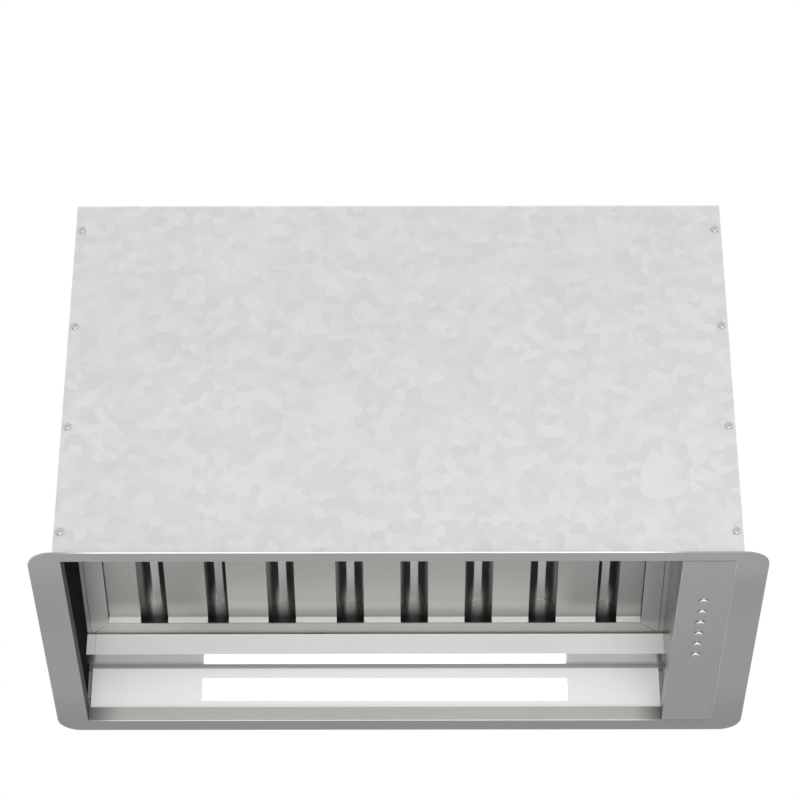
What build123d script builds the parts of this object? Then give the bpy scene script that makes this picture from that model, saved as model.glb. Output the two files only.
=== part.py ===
from build123d import *
import os
from math import atan2, cos, radians, sin, tan

os.makedirs("parts", exist_ok=True)

# The insert hangs in a cupboard bottom. X runs along the front, -Y is the front, +Z is up.
# Z = 0 is the upper face of the flange, which bears against the cupboard's floor board.

# ---------------------------------------------------------------- driving dimensions, mm
sheet = 1.0  # housing and trim sheet
slide_gap = 0.3  # free gap round trim that drops into an opening
run_gap = 0.08  # radial gap of a pin in its hole

# flange that shows under the cupboard
flange_margin_side = 19.0  # how far it stands out from the housing at each side
flange_margin_front = 9.0
flange_margin_rear = 7.0
flange_thickness = 1.0
flange_corner_radius = 18.5
side_strip = 25.5
front_strip = 12.4
rear_strip = 16.0
lip_height = 12.0
bend_radius = 0.8
flange_edge_radius = 0.4
seat_depth = 0.2  # of the shallow seat in which the housing stands
seat_gap = 0.1

# housing above the flange
housing_width = 528.0
housing_depth = 264.0
corner_return = 6.0
top_lip = 12.0
board_thickness = 16.0  # cupboard floor board that the flange and the brackets clamp

# capture recess
wall_setback = 3.0  # left wall behind the opening's edge
plate_step = 3.5  # right wall behind the control plate's edge
liner_height = 118.0
control_box_height = 112.0
control_plate_width = 40.35
plate_gap = 0.15  # round the plate in the opening
plate_lip = 14.0
plate_edge_radius = 0.7  # along the edge towards the recess

# baffle filter, which slopes down to the rear
filter_slope = 7.0
filter_clearance = 0.5  # from the opening's two ends, which it swings through
filter_front_gap = 5.7
filter_overlap = 2.0  # its rear edge stands this far behind the rail's face
filter_height = 37.0
filter_rear_z = 70.2
filter_sheet = 0.8
side_border = 15.25
end_border = 14.6
frame_top_flange = 8.0
mitre_width = 0.5
mitre_depth = 0.4
mitre_inset = 0.8  # the seam stops this far from both corners
panel_rise = 5.0
strip_foot = 4.0
strip_bend = 2.2
strip_run = 2.6  # length of the sloping end, along the strip
strip_edge = 5.0
foot_bend = 0.4
slot_count = 8
slot_width = 22.8
narrow_slot_width = 17.5
narrow_slots = (1, 7)  # counted from 0 at the left
first_slot = 37.95  # its middle from the panel's left end
last_slot = 29.05  # its middle from the panel's right end
wide_step = 3.6  # the third and fourth slot stand this much further apart
slots_before_step = 3
arch_width = 34.0
arch_top = 35.0
arch_foot = 11.0
pivot_back = 8.0
pivot_up = 4.0
pivot_radius = 2.5
pivot_reach = 1.2  # beyond the wall sheet

# side guides that cover the gaps beside the filter
guide_sheet = 0.9
guide_leg = 10.0
guide_gap = 0.4  # to the filter's ends
guide_pin_gap = 3.0  # between its upright leg and the pin

# pull rings under the filter's front border
ring_end_distance = 86.75  # from each ring's middle to the filter's end
ring_width = 44.0
ring_drop = 20.0
ring_wire = 1.5
ring_corner = 6.0
ring_setback = 7.3  # ring axis from the filter's front edge
ring_axis_drop = 3.2
lug_length = 6.0
lug_wall = 1.3

# front stop of the filter and the two magnets under it
stop_leg = 16.0
magnet_thickness = 4.0
magnet_length = 40.0
magnet_depth = 9.0

# rail over the lamp panel
rail_depth = 24.0
rail_gap = 1.2  # below the filter's rear edge
rail_low_z = 49.7
rail_flat = 10.0  # of the underside, from its front corner
rail_slope = 9.5  # of that flat, down to the rear
rail_lip = 0.6  # inner height of the rail's front corner over the sheet's outer face
rail_cap_width = 7.0
rail_cap_gap = 0.3
rail_cap_chamfer = 0.6

# lamp panel
lamp_setback = 1.0  # behind the flange's rear lip
lamp_gap_left = 3.7
lamp_gap_right = 0.8
lamp_low_z = 2.0
window_length = 304.0
window_height = 20.4
window_offset = 8.0  # from the recess's middle, to the right
window_z = 29.6
diffuser_rim = 4.0
diffuser_rim_thickness = 1.2
led_board_height = 14.0
led_board_thickness = 1.2
led_count = 24
led_size = 3.0
led_height = 0.5

# blower
blower_y = -9.0
blower_z = 242.0
scroll_width = 120.0
scroll_wall = 1.6
cutoff_radius = 80.0
volute_step = 10.0
scroll_mouth = 80.0  # top of the mouth over the wheel's axis
duct_height = 17.0
inlet_radius = 56.0
inlet_ring_width = 7.0
inlet_ring_height = 6.0
inlet_flare = 4.2
impeller_radius = 66.0
impeller_inner_radius = 53.0
impeller_end_gap = 4.0
blade_count = 36
blade_thickness = 0.9
blade_lean = 28.0
disc_thickness = 1.6
end_ring_width = 3.5
hub_radius = 11.0
hub_length = 16.0
shaft_radius = 4.0
shaft_chamfer = 0.6
shaft_clearance = 0.3  # radial, beyond the bearing
motor_radius = 40.0
motor_length = 58.0
motor_start = 8.0
motor_edge = 5.0
bearing_length = 10.0
bearing_radius = 9.0
arm_count = 3
arm_width = 13.0
rubber_clearance = 2.0  # between the inlet ring and each rubber mount
arm_thickness = 2.0
rubber_radius = 6.0
rubber_height = 6.0
hanger_width = 22.0
hanger_drop = 30.0
hanger_thickness = 1.5
hanger_foot = 14.0

# outlet collar and its two flaps
spigot_radius = 74.5
spigot_height = 50.0
spigot_flange_radius = 90.0
damper_height = 20.0
damper_rod_radius = 2.0
flap_thickness = 0.8
flap_edge_gap = 1.0
flap_ledge = 2.5
flap_ledge_thickness = 1.0
flap_rest_gap = 0.1
sleeve_wall = 1.3
sleeve_gap = 1.0
sleeve_length = 30.0

# control plate and push buttons
button_count = 6
button_pitch = 16.7
button_first_y = -68.0
button_inset = 20.2  # from the control plate's right edge
button_radius = 3.6
button_gap = 0.25
button_stand = 1.6
button_dome = 1.0
button_collar_radius = 5.2
button_collar = 1.2
button_travel = 1.5
switch_size = 6.0
switch_height = 3.4
switch_plunger_radius = 1.7
switch_plunger = 1.0
board_width = 30.0
board_gap = 0.5  # from the control box's wall
board_overhang = 14.0
circuit_board = 1.6
post_radius = 3.0

# electrics inside
driver_size = (34.0, 90.0, 22.0)
driver_corner = 2.0
driver_edge = 1.0
driver_y = 40.0
power_board_size = (1.6, 110.0, 60.0)
power_board_y = -30.0
power_board_clearance = 1.0  # over the lamp driver
power_board_gap = 6.0  # from the side panel
post_inset = 6.0
power_block = (18.0, 12.0, 8.8)
power_block_pitch = (27.5, 20.0)
capacitor_radius = 16.0
capacitor_length = 56.0
capacitor_edge = 2.0
capacitor_inset = 103.0  # from the left side panel
capacitor_y = 30.0
terminal_box_size = (70.0, 50.0, 32.0)
terminal_box_inset = 73.0  # from the left side panel
terminal_box_y = -60.0
terminal_box_wall = 2.0
terminal_box_corner = 4.0
terminal_lid_thickness = 2.0
terminal_lid_chamfer = 0.8
gland_radius = 8.0
gland_bore = 4.2
gland_reach = 12.0
gland_nut_radius = 11.0
gland_nut = 5.0

# cupboard fixing brackets
bracket_length = 150.0
bracket_height = 34.0
bracket_foot = 18.0
bracket_thickness = 1.5
fixing_spacing_y = 110.0
fixing_hole_radius = 2.4
fixing_edge = 9.0
bracket_screw_height = 22.0  # over the cupboard board

# fasteners
rivet_head_radius = 3.2
rivet_head = 1.4
rivet_radius = 1.6
rivet_chamfer = 0.6
rivet_inset_x = 4.0
rivet_inset_z = 24.0
rivet_rows = 4
screw_head_radius = 3.5
screw_head = 1.8
screw_radius = 1.6
screw_chamfer = 0.7

# ---------------------------------------------------------------- places worked out from them
flange_width = housing_width + 2 * flange_margin_side
flange_depth = housing_depth + flange_margin_front + flange_margin_rear
opening_width = flange_width - 2 * side_strip
opening_front = -flange_depth / 2 + front_strip
opening_rear = flange_depth / 2 - rear_strip
opening_depth = opening_rear - opening_front
opening_y = (opening_front + opening_rear) / 2

housing_y = (flange_margin_front - flange_margin_rear) / 2
front_face = housing_y - housing_depth / 2
back_face = housing_y + housing_depth / 2
front_inside = front_face + sheet
back_inside = back_face - sheet
side_inside = housing_width / 2 - sheet
scroll_top_z = blower_z + scroll_mouth
top_underside = scroll_top_z + duct_height
top_z = top_underside + sheet
recess_front = front_inside + sheet
recess_rear = back_inside - sheet
recess_depth = recess_rear - recess_front

plate_right_x = opening_width / 2 - plate_gap
plate_left_x = plate_right_x - control_plate_width
left_wall_x = -opening_width / 2 - wall_setback
right_wall_x = plate_left_x + plate_step
recess_x = (left_wall_x + right_wall_x) / 2
lamp_face_y = opening_rear + sheet + lamp_setback
rail_front_y = lamp_face_y - rail_depth
rail_top_z = filter_rear_z - rail_gap
window_x = recess_x + window_offset

slope_sin = sin(radians(filter_slope))
slope_cos = cos(radians(filter_slope))
filter_left = -opening_width / 2 + filter_clearance
filter_right = plate_left_x - filter_clearance
filter_width = filter_right - filter_left
filter_x = (filter_left + filter_right) / 2
filter_rear_y = rail_front_y + filter_overlap
filter_depth = (filter_rear_y - front_inside - filter_front_gap) / slope_cos
# local frame of the filter: origin on its rear lower edge, y to the rear, z square to its face
filter_plane = Plane(
    origin=(filter_x, filter_rear_y, filter_rear_z),
    x_dir=(1, 0, 0),
    z_dir=(0, slope_sin, slope_cos),
)
panel_front = -filter_depth + end_border
panel_rear = -end_border
panel_left = -filter_width / 2 + side_border
panel_right = filter_width / 2 - side_border
slot_span = panel_right - panel_left - first_slot - last_slot - wide_step
slot_pitch = slot_span / (slot_count - 1)
slot_places = [
    panel_left + first_slot + i * slot_pitch + (wide_step if i >= slots_before_step else 0)
    for i in range(slot_count)
]
slot_widths = [narrow_slot_width if i in narrow_slots else slot_width for i in range(slot_count)]
pivot = filter_plane.from_local_coords(Vector(0, -pivot_back, pivot_up))
ring_spacing = filter_width - 2 * ring_end_distance
ring_y = -filter_depth + ring_setback
ring_axis = filter_plane.from_local_coords(Vector(0, ring_y, -ring_axis_drop))

volute_y = blower_y - volute_step / 2
volute_z = blower_z - volute_step / 2
outlet_width = cutoff_radius + 3 * volute_step
outlet_y = volute_y + outlet_width / 2
damper_z = top_z + damper_height
spigot_inner = spigot_radius - sheet
flap_radius = spigot_inner - flap_edge_gap
sleeve_bore = damper_rod_radius + run_gap
sleeve_radius = sleeve_bore + sleeve_wall
arm_reach = inlet_radius + inlet_ring_width + rubber_clearance + rubber_radius

button_x = plate_right_x - button_inset
plate_front_y = opening_front + plate_gap
plate_rear_y = opening_rear - plate_gap
plate_y = (plate_front_y + plate_rear_y) / 2
plate_low_z = -flange_thickness
plate_top_z = plate_low_z + sheet
button_ys = [button_first_y + i * button_pitch for i in range(button_count)]
button_middle_y = (button_ys[0] + button_ys[-1]) / 2
button_top_z = plate_top_z + button_collar
switch_face_z = button_top_z + button_travel + switch_plunger
board_low_z = switch_face_z + switch_height
board_length = button_ys[-1] - button_ys[0] + 2 * board_overhang
board_x = right_wall_x + sheet + board_gap + board_width / 2


# ---------------------------------------------------------------- flange and housing
# Flange: one pressed sheet with a turned-up lip round the opening.
with BuildPart() as flange_frame:
    with BuildSketch(Plane.XY.offset(-flange_thickness)):
        RectangleRounded(flange_width, flange_depth, flange_corner_radius)
        with Locations((0, opening_y)):
            Rectangle(opening_width, opening_depth, mode=Mode.SUBTRACT)
    extrude(amount=flange_thickness)
    with BuildSketch(Plane.XY):
        with Locations((0, opening_y)):
            Rectangle(opening_width + 2 * sheet, opening_depth + 2 * sheet)
            Rectangle(opening_width, opening_depth, mode=Mode.SUBTRACT)
    extrude(amount=lip_height)
    # the seat leaves a plain rim on which the cupboard's board lies
    with BuildSketch(Plane.XY.offset(-seat_depth)):
        with Locations((0, housing_y)):
            Rectangle(housing_width + 2 * seat_gap, housing_depth + 2 * seat_gap)
        with Locations((0, opening_y)):
            Rectangle(
                opening_width + 2 * sheet, opening_depth + 2 * sheet, mode=Mode.SUBTRACT
            )
    extrude(amount=seat_depth, mode=Mode.SUBTRACT)
    shown_face = flange_frame.faces().sort_by(Axis.Z)[0]
    fillet(shown_face.inner_wires()[0].edges(), bend_radius)
    shown_face = flange_frame.faces().sort_by(Axis.Z)[0]
    fillet(shown_face.outer_wire().edges(), flange_edge_radius)
flange_frame.part.label = "flange_frame"
export_step(flange_frame.part, "parts/flange_frame.step")

# Rivet places on the front and back panels, by their X and Z.
rivet_step = (top_underside - 2 * rivet_inset_z) / (rivet_rows - 1)
rivet_zs = [rivet_inset_z + i * rivet_step for i in range(rivet_rows)]
rivet_x = side_inside - rivet_inset_x
rivet_places = [(side * rivet_x, z) for side in (-1, 1) for z in rivet_zs]

for label, face_y in (("housing_front", front_inside), ("housing_back", back_face)):
    with BuildPart() as panel:
        with BuildSketch(Plane.XZ.offset(-face_y)):
            with Locations((0, (top_underside - seat_depth) / 2)):
                Rectangle(housing_width, top_underside + seat_depth)
            with Locations(*rivet_places):
                Circle(rivet_radius, mode=Mode.SUBTRACT)
        extrude(amount=sheet)
    panel.part.label = label
    export_step(panel.part, f"parts/{label}.step")

# Side panels: a web with a return behind the front panel and one before the back panel.
for label, side in (("housing_left", -1), ("housing_right", 1)):
    with BuildPart() as side_panel:
        with BuildSketch(Plane.XY.offset(-seat_depth)):
            with Locations((side * (side_inside + sheet / 2), housing_y)):
                Rectangle(sheet, housing_depth - 2 * sheet)
            for return_y in (front_inside + sheet / 2, back_inside - sheet / 2):
                with Locations((side * (side_inside - corner_return / 2), return_y)):
                    Rectangle(corner_return, sheet)
        extrude(amount=top_underside + seat_depth)
        with BuildSketch(Plane.XZ.offset(-back_inside)):
            with Locations(*rivet_places):
                Circle(rivet_radius)
        extrude(amount=housing_depth, mode=Mode.SUBTRACT)
    side_panel.part.label = label
    export_step(side_panel.part, f"parts/{label}.step")

# Blind rivets, head outwards, through the panel and the side panel's return.
with BuildPart() as housing_rivets:
    for outward, face_y in ((1, front_face), (-1, back_face)):
        with BuildSketch(Plane.XZ.offset(-face_y)):
            with Locations(*rivet_places):
                Circle(rivet_head_radius)
        extrude(amount=outward * rivet_head)
        with BuildSketch(Plane.XZ.offset(-face_y)):
            with Locations(*rivet_places):
                Circle(rivet_radius)
        extrude(amount=-outward * 2 * sheet)
    for end in (0, -1):
        head_faces = housing_rivets.faces().filter_by(Axis.Y).group_by(Axis.Y)[end]
        chamfer(head_faces.edges(), rivet_chamfer)
housing_rivets.part.label = "housing_rivets"
export_step(housing_rivets.part, "parts/housing_rivets.step")

# Top pan: a plate over the walls with a lip inside each of them.
lip_length_x = 2 * (side_inside - corner_return - slide_gap)
lip_length_y = housing_depth - 4 * sheet - 2 * slide_gap
with BuildPart() as housing_top:
    with BuildSketch(Plane.XY.offset(top_underside)):
        with Locations((0, housing_y)):
            Rectangle(housing_width, housing_depth)
    extrude(amount=sheet)
    with BuildSketch(Plane.XY.offset(top_underside)):
        for wall_y in (front_inside + sheet / 2, back_inside - sheet / 2):
            with Locations((0, wall_y)):
                Rectangle(lip_length_x, sheet)
        for wall_x in (-side_inside + sheet / 2, side_inside - sheet / 2):
            with Locations((wall_x, housing_y)):
                Rectangle(sheet, lip_length_y)
    extrude(amount=-top_lip)
    with BuildSketch(Plane.XY.offset(top_z)):
        with Locations((0, outlet_y)):
            Circle(spigot_inner)
    extrude(amount=-sheet, mode=Mode.SUBTRACT)
housing_top.part.label = "housing_top"
export_step(housing_top.part, "parts/housing_top.step")

# ---------------------------------------------------------------- capture recess
# Dark left wall of the recess, a channel against the left side panel.
liner_depth = side_inside + left_wall_x
with BuildPart() as recess_liner:
    with BuildSketch(Plane.XZ.offset(-recess_front)):
        with Locations((left_wall_x - sheet / 2, (liner_height - seat_depth) / 2)):
            Rectangle(sheet, liner_height + seat_depth)
        for return_z in (sheet / 2 - seat_depth, liner_height - sheet / 2):
            with Locations((left_wall_x - liner_depth / 2, return_z)):
                Rectangle(liner_depth, sheet)
    extrude(amount=-recess_depth)
    with BuildSketch(Plane.YZ.offset(left_wall_x)):
        with Locations((pivot.Y, pivot.Z)):
            Circle(pivot_radius + run_gap)
    extrude(amount=-sheet, mode=Mode.SUBTRACT)
recess_liner.part.label = "recess_liner"
export_step(recess_liner.part, "parts/recess_liner.step")

# Control box: right wall of the recess, joggled onto the control plate's lip, with a roof.
lip_back_x = plate_left_x + sheet
with BuildPart() as control_box:
    with BuildSketch(Plane.XZ.offset(-recess_front)):
        with BuildLine():
            Polyline(
                (lip_back_x, plate_top_z + sheet),
                (lip_back_x, plate_lip + sheet),
                (right_wall_x, plate_lip + sheet),
                (right_wall_x, control_box_height),
                (side_inside, control_box_height),
                (side_inside, control_box_height - sheet),
                (right_wall_x + sheet, control_box_height - sheet),
                (right_wall_x + sheet, plate_lip),
                (lip_back_x + sheet, plate_lip),
                (lip_back_x + sheet, plate_top_z + sheet),
                close=True,
            )
        make_face()
    extrude(amount=-recess_depth)
    with BuildSketch(Plane.YZ.offset(right_wall_x)):
        with Locations((pivot.Y, pivot.Z)):
            Circle(pivot_radius + run_gap)
    extrude(amount=sheet, mode=Mode.SUBTRACT)
    # the flange's lips run between the box and the housing at the front and the rear
    with BuildSketch(Plane.XY):
        for lip_y in (opening_front - sheet / 2, opening_rear + sheet / 2):
            with Locations((right_wall_x, lip_y)):
                Rectangle(4 * sheet + 2 * (right_wall_x - lip_back_x), sheet + 2 * slide_gap)
    extrude(amount=lip_height + slide_gap, mode=Mode.SUBTRACT)
control_box.part.label = "control_box"
export_step(control_box.part, "parts/control_box.step")

# Control plate, flush with the flange, with its left lip against the control box.
plate_x = (plate_left_x + plate_right_x) / 2
plate_length = plate_rear_y - plate_front_y
with BuildPart() as control_plate:
    with BuildSketch(Plane.XY.offset(plate_low_z)):
        with Locations((plate_x, plate_y)):
            Rectangle(control_plate_width, plate_length)
    extrude(amount=sheet)
    with BuildSketch(Plane.XY.offset(plate_top_z)):
        with Locations((plate_left_x + sheet / 2, plate_y)):
            Rectangle(sheet, plate_length)
        with Locations((plate_right_x - sheet / 2, plate_y)):
            Rectangle(sheet, plate_length)
    extrude(amount=plate_lip - sheet)
    shown_edges = control_plate.faces().sort_by(Axis.Z)[0].edges().filter_by(Axis.Y)
    fillet(shown_edges.sort_by(Axis.X)[0], plate_edge_radius)
    with BuildSketch(Plane.XY.offset(plate_low_z)):
        with Locations(*[(button_x, y) for y in button_ys]):
            Circle(button_radius + button_gap)
    extrude(amount=sheet, mode=Mode.SUBTRACT)
control_plate.part.label = "control_plate"
export_step(control_plate.part, "parts/control_plate.step")

# Push buttons: a domed cap below the plate, a collar that rests on it and a stem.
button_names = ("power", "slower", "faster", "boost", "timer", "light")
for name, y in zip(button_names, button_ys):
    with BuildPart() as button:
        with BuildSketch(Plane.XY.offset(plate_low_z - button_stand)):
            with Locations((button_x, y)):
                Circle(button_radius)
        extrude(amount=button_stand + sheet)
        with BuildSketch(Plane.XY.offset(plate_top_z)):
            with Locations((button_x, y)):
                Circle(button_collar_radius)
        extrude(amount=button_collar)
        fillet(button.faces().sort_by(Axis.Z)[0].edges(), button_dome)
    button.part.label = f"button_{name}"
    export_step(button.part, f"parts/button_{name}.step")

# Button board with its six switches, on posts that stand on the plate.
with BuildPart() as button_board:
    with BuildSketch(Plane.XY.offset(board_low_z)):
        with Locations((board_x, button_middle_y)):
            Rectangle(board_width, board_length)
    extrude(amount=circuit_board)
button_board.part.label = "button_board"
export_step(button_board.part, "parts/button_board.step")

with BuildPart() as switches:
    with BuildSketch(Plane.XY.offset(switch_face_z)):
        with Locations(*[(button_x, y) for y in button_ys]):
            Rectangle(switch_size, switch_size)
    extrude(amount=switch_height)
    with BuildSketch(Plane.XY.offset(switch_face_z)):
        with Locations(*[(button_x, y) for y in button_ys]):
            Circle(switch_plunger_radius)
    extrude(amount=-switch_plunger)
switches.part.label = "switches"
export_step(switches.part, "parts/switches.step")

post_x = board_width / 2 - post_radius
post_y = board_length / 2 - post_radius
with BuildPart() as board_posts:
    with BuildSketch(Plane.XY.offset(plate_top_z)):
        with Locations((board_x, button_middle_y)):
            with GridLocations(2 * post_x, 2 * post_y, 2, 2):
                Circle(post_radius)
    extrude(amount=board_low_z - plate_top_z)
board_posts.part.label = "board_posts"
export_step(board_posts.part, "parts/board_posts.step")

# ---------------------------------------------------------------- lamp panel and rail
lamp_left_x = left_wall_x + lamp_gap_left
lamp_right_x = lip_back_x - lamp_gap_right
lamp_back_y = lamp_face_y + sheet
with BuildPart() as lamp_panel:
    with BuildSketch(Plane.YZ.offset(lamp_left_x)):
        with BuildLine():
            Polyline(
                (back_inside, lamp_low_z),
                (lamp_face_y, lamp_low_z),
                (lamp_face_y, rail_low_z),
                (back_inside, rail_low_z),
                (back_inside, rail_low_z - sheet),
                (lamp_back_y, rail_low_z - sheet),
                (lamp_back_y, lamp_low_z + sheet),
                (back_inside, lamp_low_z + sheet),
                close=True,
            )
        make_face()
    extrude(amount=lamp_right_x - lamp_left_x)
    with BuildSketch(Plane.XZ.offset(-lamp_face_y)):
        with Locations((window_x, window_z)):
            Rectangle(window_length, window_height)
    extrude(amount=-sheet, mode=Mode.SUBTRACT)
lamp_panel.part.label = "lamp_panel"
export_step(lamp_panel.part, "parts/lamp_panel.step")

# Opal strip that fills the window, with a rim behind the panel.
diffuser_back_y = lamp_back_y + diffuser_rim_thickness
with BuildPart() as led_diffuser:
    with BuildSketch(Plane.XZ.offset(-lamp_face_y)):
        with Locations((window_x, window_z)):
            Rectangle(window_length, window_height)
    extrude(amount=-sheet)
    with BuildSketch(Plane.XZ.offset(-lamp_back_y)):
        with Locations((window_x, window_z)):
            Rectangle(window_length + 2 * diffuser_rim, window_height + 2 * diffuser_rim)
    extrude(amount=-diffuser_rim_thickness)
led_diffuser.part.label = "led_diffuser"
export_step(led_diffuser.part, "parts/led_diffuser.step")

# Board of the lamp, fixed to the back panel, with its row of chips.
led_board_y = back_inside - led_board_thickness
led_step = window_length / led_count
with BuildPart() as led_board:
    with BuildSketch(Plane.XZ.offset(-led_board_y)):
        with Locations((window_x, window_z)):
            Rectangle(window_length, led_board_height)
    extrude(amount=-led_board_thickness)
    with BuildSketch(Plane.XZ.offset(-led_board_y)):
        with Locations((window_x, window_z)):
            with GridLocations(led_step, led_step, led_count, 1):
                Rectangle(led_size, led_size)
    extrude(amount=led_height)
led_board.part.label = "led_board"
export_step(led_board.part, "parts/led_board.step")

# Rail: an upright face, a slightly bellied underside and a flat top that the filter clears.
rail_left_x = left_wall_x + rail_cap_width + rail_cap_gap
rail_length = right_wall_x - rail_left_x
flat_direction = Vector(cos(radians(rail_slope)), -sin(radians(rail_slope)))


def rail_belly(front_y, front_z, rear_z):
    """Outline of the underside: a sloping flat and an arc up to the lamp panel."""
    flat = Line((front_y, front_z), Vector(front_y, front_z) + flat_direction * rail_flat)
    arc = TangentArc(flat @ 1, (lamp_face_y, rear_z), tangent=flat_direction)
    return flat, arc



def rail_section():
    """Closed outline of the folded rail in the YZ plane, one sheet thick."""
    belly_y = (rail_front_y + back_inside) / 2
    with BuildLine() as outline:
        outer_flat, outer_arc = rail_belly(rail_front_y, rail_low_z, rail_low_z)
        Polyline(
            outer_arc @ 1,
            (back_inside, rail_low_z),
            (back_inside, rail_low_z + sheet),
            (lamp_face_y, rail_low_z + sheet),
        )
        inner_flat, _ = rail_belly(
            rail_front_y + sheet, rail_low_z + rail_lip, rail_low_z + sheet
        )
        Polyline(
            inner_flat @ 0,
            (rail_front_y + sheet, rail_top_z - sheet),
            (belly_y, rail_top_z - sheet),
            (belly_y, rail_top_z),
            (rail_front_y, rail_top_z),
            outer_flat @ 0,
        )
    make_face(outline.edges())


with BuildPart() as lamp_rail:
    with BuildSketch(Plane.YZ.offset(rail_left_x)):
        rail_section()
    extrude(amount=rail_length)
lamp_rail.part.label = "lamp_rail"
export_step(lamp_rail.part, "parts/lamp_rail.step")

# End cap between the rail and the left wall: a solid moulding of the rail's outline.
with BuildPart() as rail_cap:
    with BuildSketch(Plane.YZ.offset(left_wall_x)):
        with BuildLine():
            flat, arc = rail_belly(rail_front_y, rail_low_z, rail_low_z)
            Polyline(
                arc @ 1,
                (recess_rear, rail_low_z),
                (recess_rear, rail_top_z),
                (rail_front_y, rail_top_z),
                flat @ 0,
            )
        make_face()
    extrude(amount=rail_cap_width)
    upright = rail_cap.edges().filter_by(Axis.Z).group_by(Axis.Y)[0].sort_by(Axis.X)[-1]
    chamfer(upright, rail_cap_chamfer)
rail_cap.part.label = "rail_cap"
export_step(rail_cap.part, "parts/rail_cap.step")

# ---------------------------------------------------------------- baffle filter
# Frame: a channel of sheet round all four sides, with mitred corners on its shown face.
frame_mid_y = -filter_depth / 2
with BuildPart() as filter_frame:
    with BuildSketch(filter_plane):
        with Locations((0, frame_mid_y)):
            Rectangle(filter_width, filter_depth)
    extrude(amount=filter_height)
    with BuildSketch(filter_plane.offset(filter_sheet)):
        with Locations((0, frame_mid_y)):
            Rectangle(filter_width - 2 * filter_sheet, filter_depth - 2 * filter_sheet)
    extrude(amount=filter_height - 2 * filter_sheet, mode=Mode.SUBTRACT)
    with BuildSketch(filter_plane):
        with Locations((0, frame_mid_y)):
            Rectangle(filter_width - 2 * side_border, filter_depth - 2 * end_border)
    extrude(amount=filter_sheet, mode=Mode.SUBTRACT)
    with BuildSketch(filter_plane.offset(filter_height)):
        with Locations((0, frame_mid_y)):
            Rectangle(filter_width - 2 * frame_top_flange, filter_depth - 2 * frame_top_flange)
    extrude(amount=-filter_sheet, mode=Mode.SUBTRACT)
    with BuildSketch(filter_plane):
        for sx in (-1, 1):
            for corner_y, inward in ((0.0, -1), (-filter_depth, 1)):
                corner = Vector(sx * filter_width / 2, corner_y)
                seam = Vector(-sx * side_border, inward * end_border)
                along = seam.normalized()
                across = Vector(0, 0, 1).cross(along) * mitre_width / 2
                start = corner + along * mitre_inset
                end = corner + seam - along * mitre_inset
                with BuildLine():
                    Polyline(
                        start + across,
                        start - across,
                        end - across,
                        end + across,
                        close=True,
                    )
                make_face()
    extrude(amount=mitre_depth, mode=Mode.SUBTRACT)
filter_frame.part.label = "filter_frame"
export_step(filter_frame.part, "parts/filter_frame.step")

# Lower baffles: nine raised strips with turned-up edges. Their ends curve down to the frame.
strip_bounds = [panel_left]
for place, width in zip(slot_places, slot_widths):
    strip_bounds += [place - width / 2, place + width / 2]
strip_bounds.append(panel_right)
strips = list(zip(strip_bounds[0::2], strip_bounds[1::2]))
# how far the sloping end's outer corner stands from its inner one, along the strip
end_angle = atan2(panel_rise - filter_sheet, strip_run)
strip_shift = filter_sheet * tan(end_angle / 2)


def strip_section():
    """Side view of one strip: raised web, curved ends and feet on the frame's border."""
    foot_rear = panel_rear + strip_foot
    foot_front = panel_front - strip_foot
    low = filter_sheet
    with BuildLine() as outline:
        under = FilletPolyline(
            (foot_rear, low),
            (panel_rear, low),
            (panel_rear - strip_run, panel_rise),
            (panel_front + strip_run, panel_rise),
            (panel_front, low),
            (foot_front, low),
            radius=(foot_bend, strip_bend - filter_sheet, strip_bend - filter_sheet, foot_bend),
        )
        over = FilletPolyline(
            (foot_rear, low + filter_sheet),
            (panel_rear + strip_shift, low + filter_sheet),
            (panel_rear + strip_shift - strip_run, panel_rise + filter_sheet),
            (panel_front - strip_shift + strip_run, panel_rise + filter_sheet),
            (panel_front - strip_shift, low + filter_sheet),
            (foot_front, low + filter_sheet),
            radius=(foot_bend, strip_bend, strip_bend, foot_bend),
        )
        Line(under @ 0, over @ 0)
        Line(under @ 1, over @ 1)
    make_face(outline.edges())


with BuildPart() as lower_baffles:
    for left, right in strips:
        side_view = Plane(
            origin=filter_plane.from_local_coords(Vector(left, 0, 0)),
            x_dir=filter_plane.y_dir,
            z_dir=(1, 0, 0),
        )
        with BuildSketch(side_view):
            strip_section()
        extrude(amount=right - left)
        edge_length = panel_rear - panel_front - 2 * (strip_run + strip_bend)
        with BuildSketch(filter_plane.offset(panel_rise + filter_sheet)):
            for edge_x in (left + filter_sheet / 2, right - filter_sheet / 2):
                with Locations((edge_x, frame_mid_y)):
                    Rectangle(filter_sheet, edge_length)
        extrude(amount=strip_edge - filter_sheet)
lower_baffles.part.label = "lower_baffles"
export_step(lower_baffles.part, "parts/lower_baffles.step")

# Upper baffles: arched channels over the slots, from one end wall of the frame to the other.
arch_radius = arch_width / 2
arch_spring = arch_top - arch_radius
arch_length = filter_depth - 2 * filter_sheet
with BuildPart() as upper_baffles:
    for place in slot_places:
        end_view = Plane(
            origin=filter_plane.from_local_coords(Vector(place, -filter_sheet, 0)),
            x_dir=(-1, 0, 0),
            z_dir=filter_plane.y_dir,
        )
        with BuildSketch(end_view):
            with Locations((0, arch_spring)):
                Circle(arch_radius + filter_sheet)
            with Locations((0, (arch_foot + arch_spring) / 2)):
                Rectangle(arch_width + 2 * filter_sheet, arch_spring - arch_foot)
            with Locations((0, arch_spring)):
                Circle(arch_radius, mode=Mode.SUBTRACT)
            with Locations((0, arch_spring - arch_radius)):
                Rectangle(arch_width, 2 * arch_radius, mode=Mode.SUBTRACT)
            with Locations((0, arch_foot - arch_radius)):
                Rectangle(4 * arch_width, 2 * arch_radius, mode=Mode.SUBTRACT)
        extrude(amount=-arch_length)
upper_baffles.part.label = "upper_baffles"
export_step(upper_baffles.part, "parts/upper_baffles.step")

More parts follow.
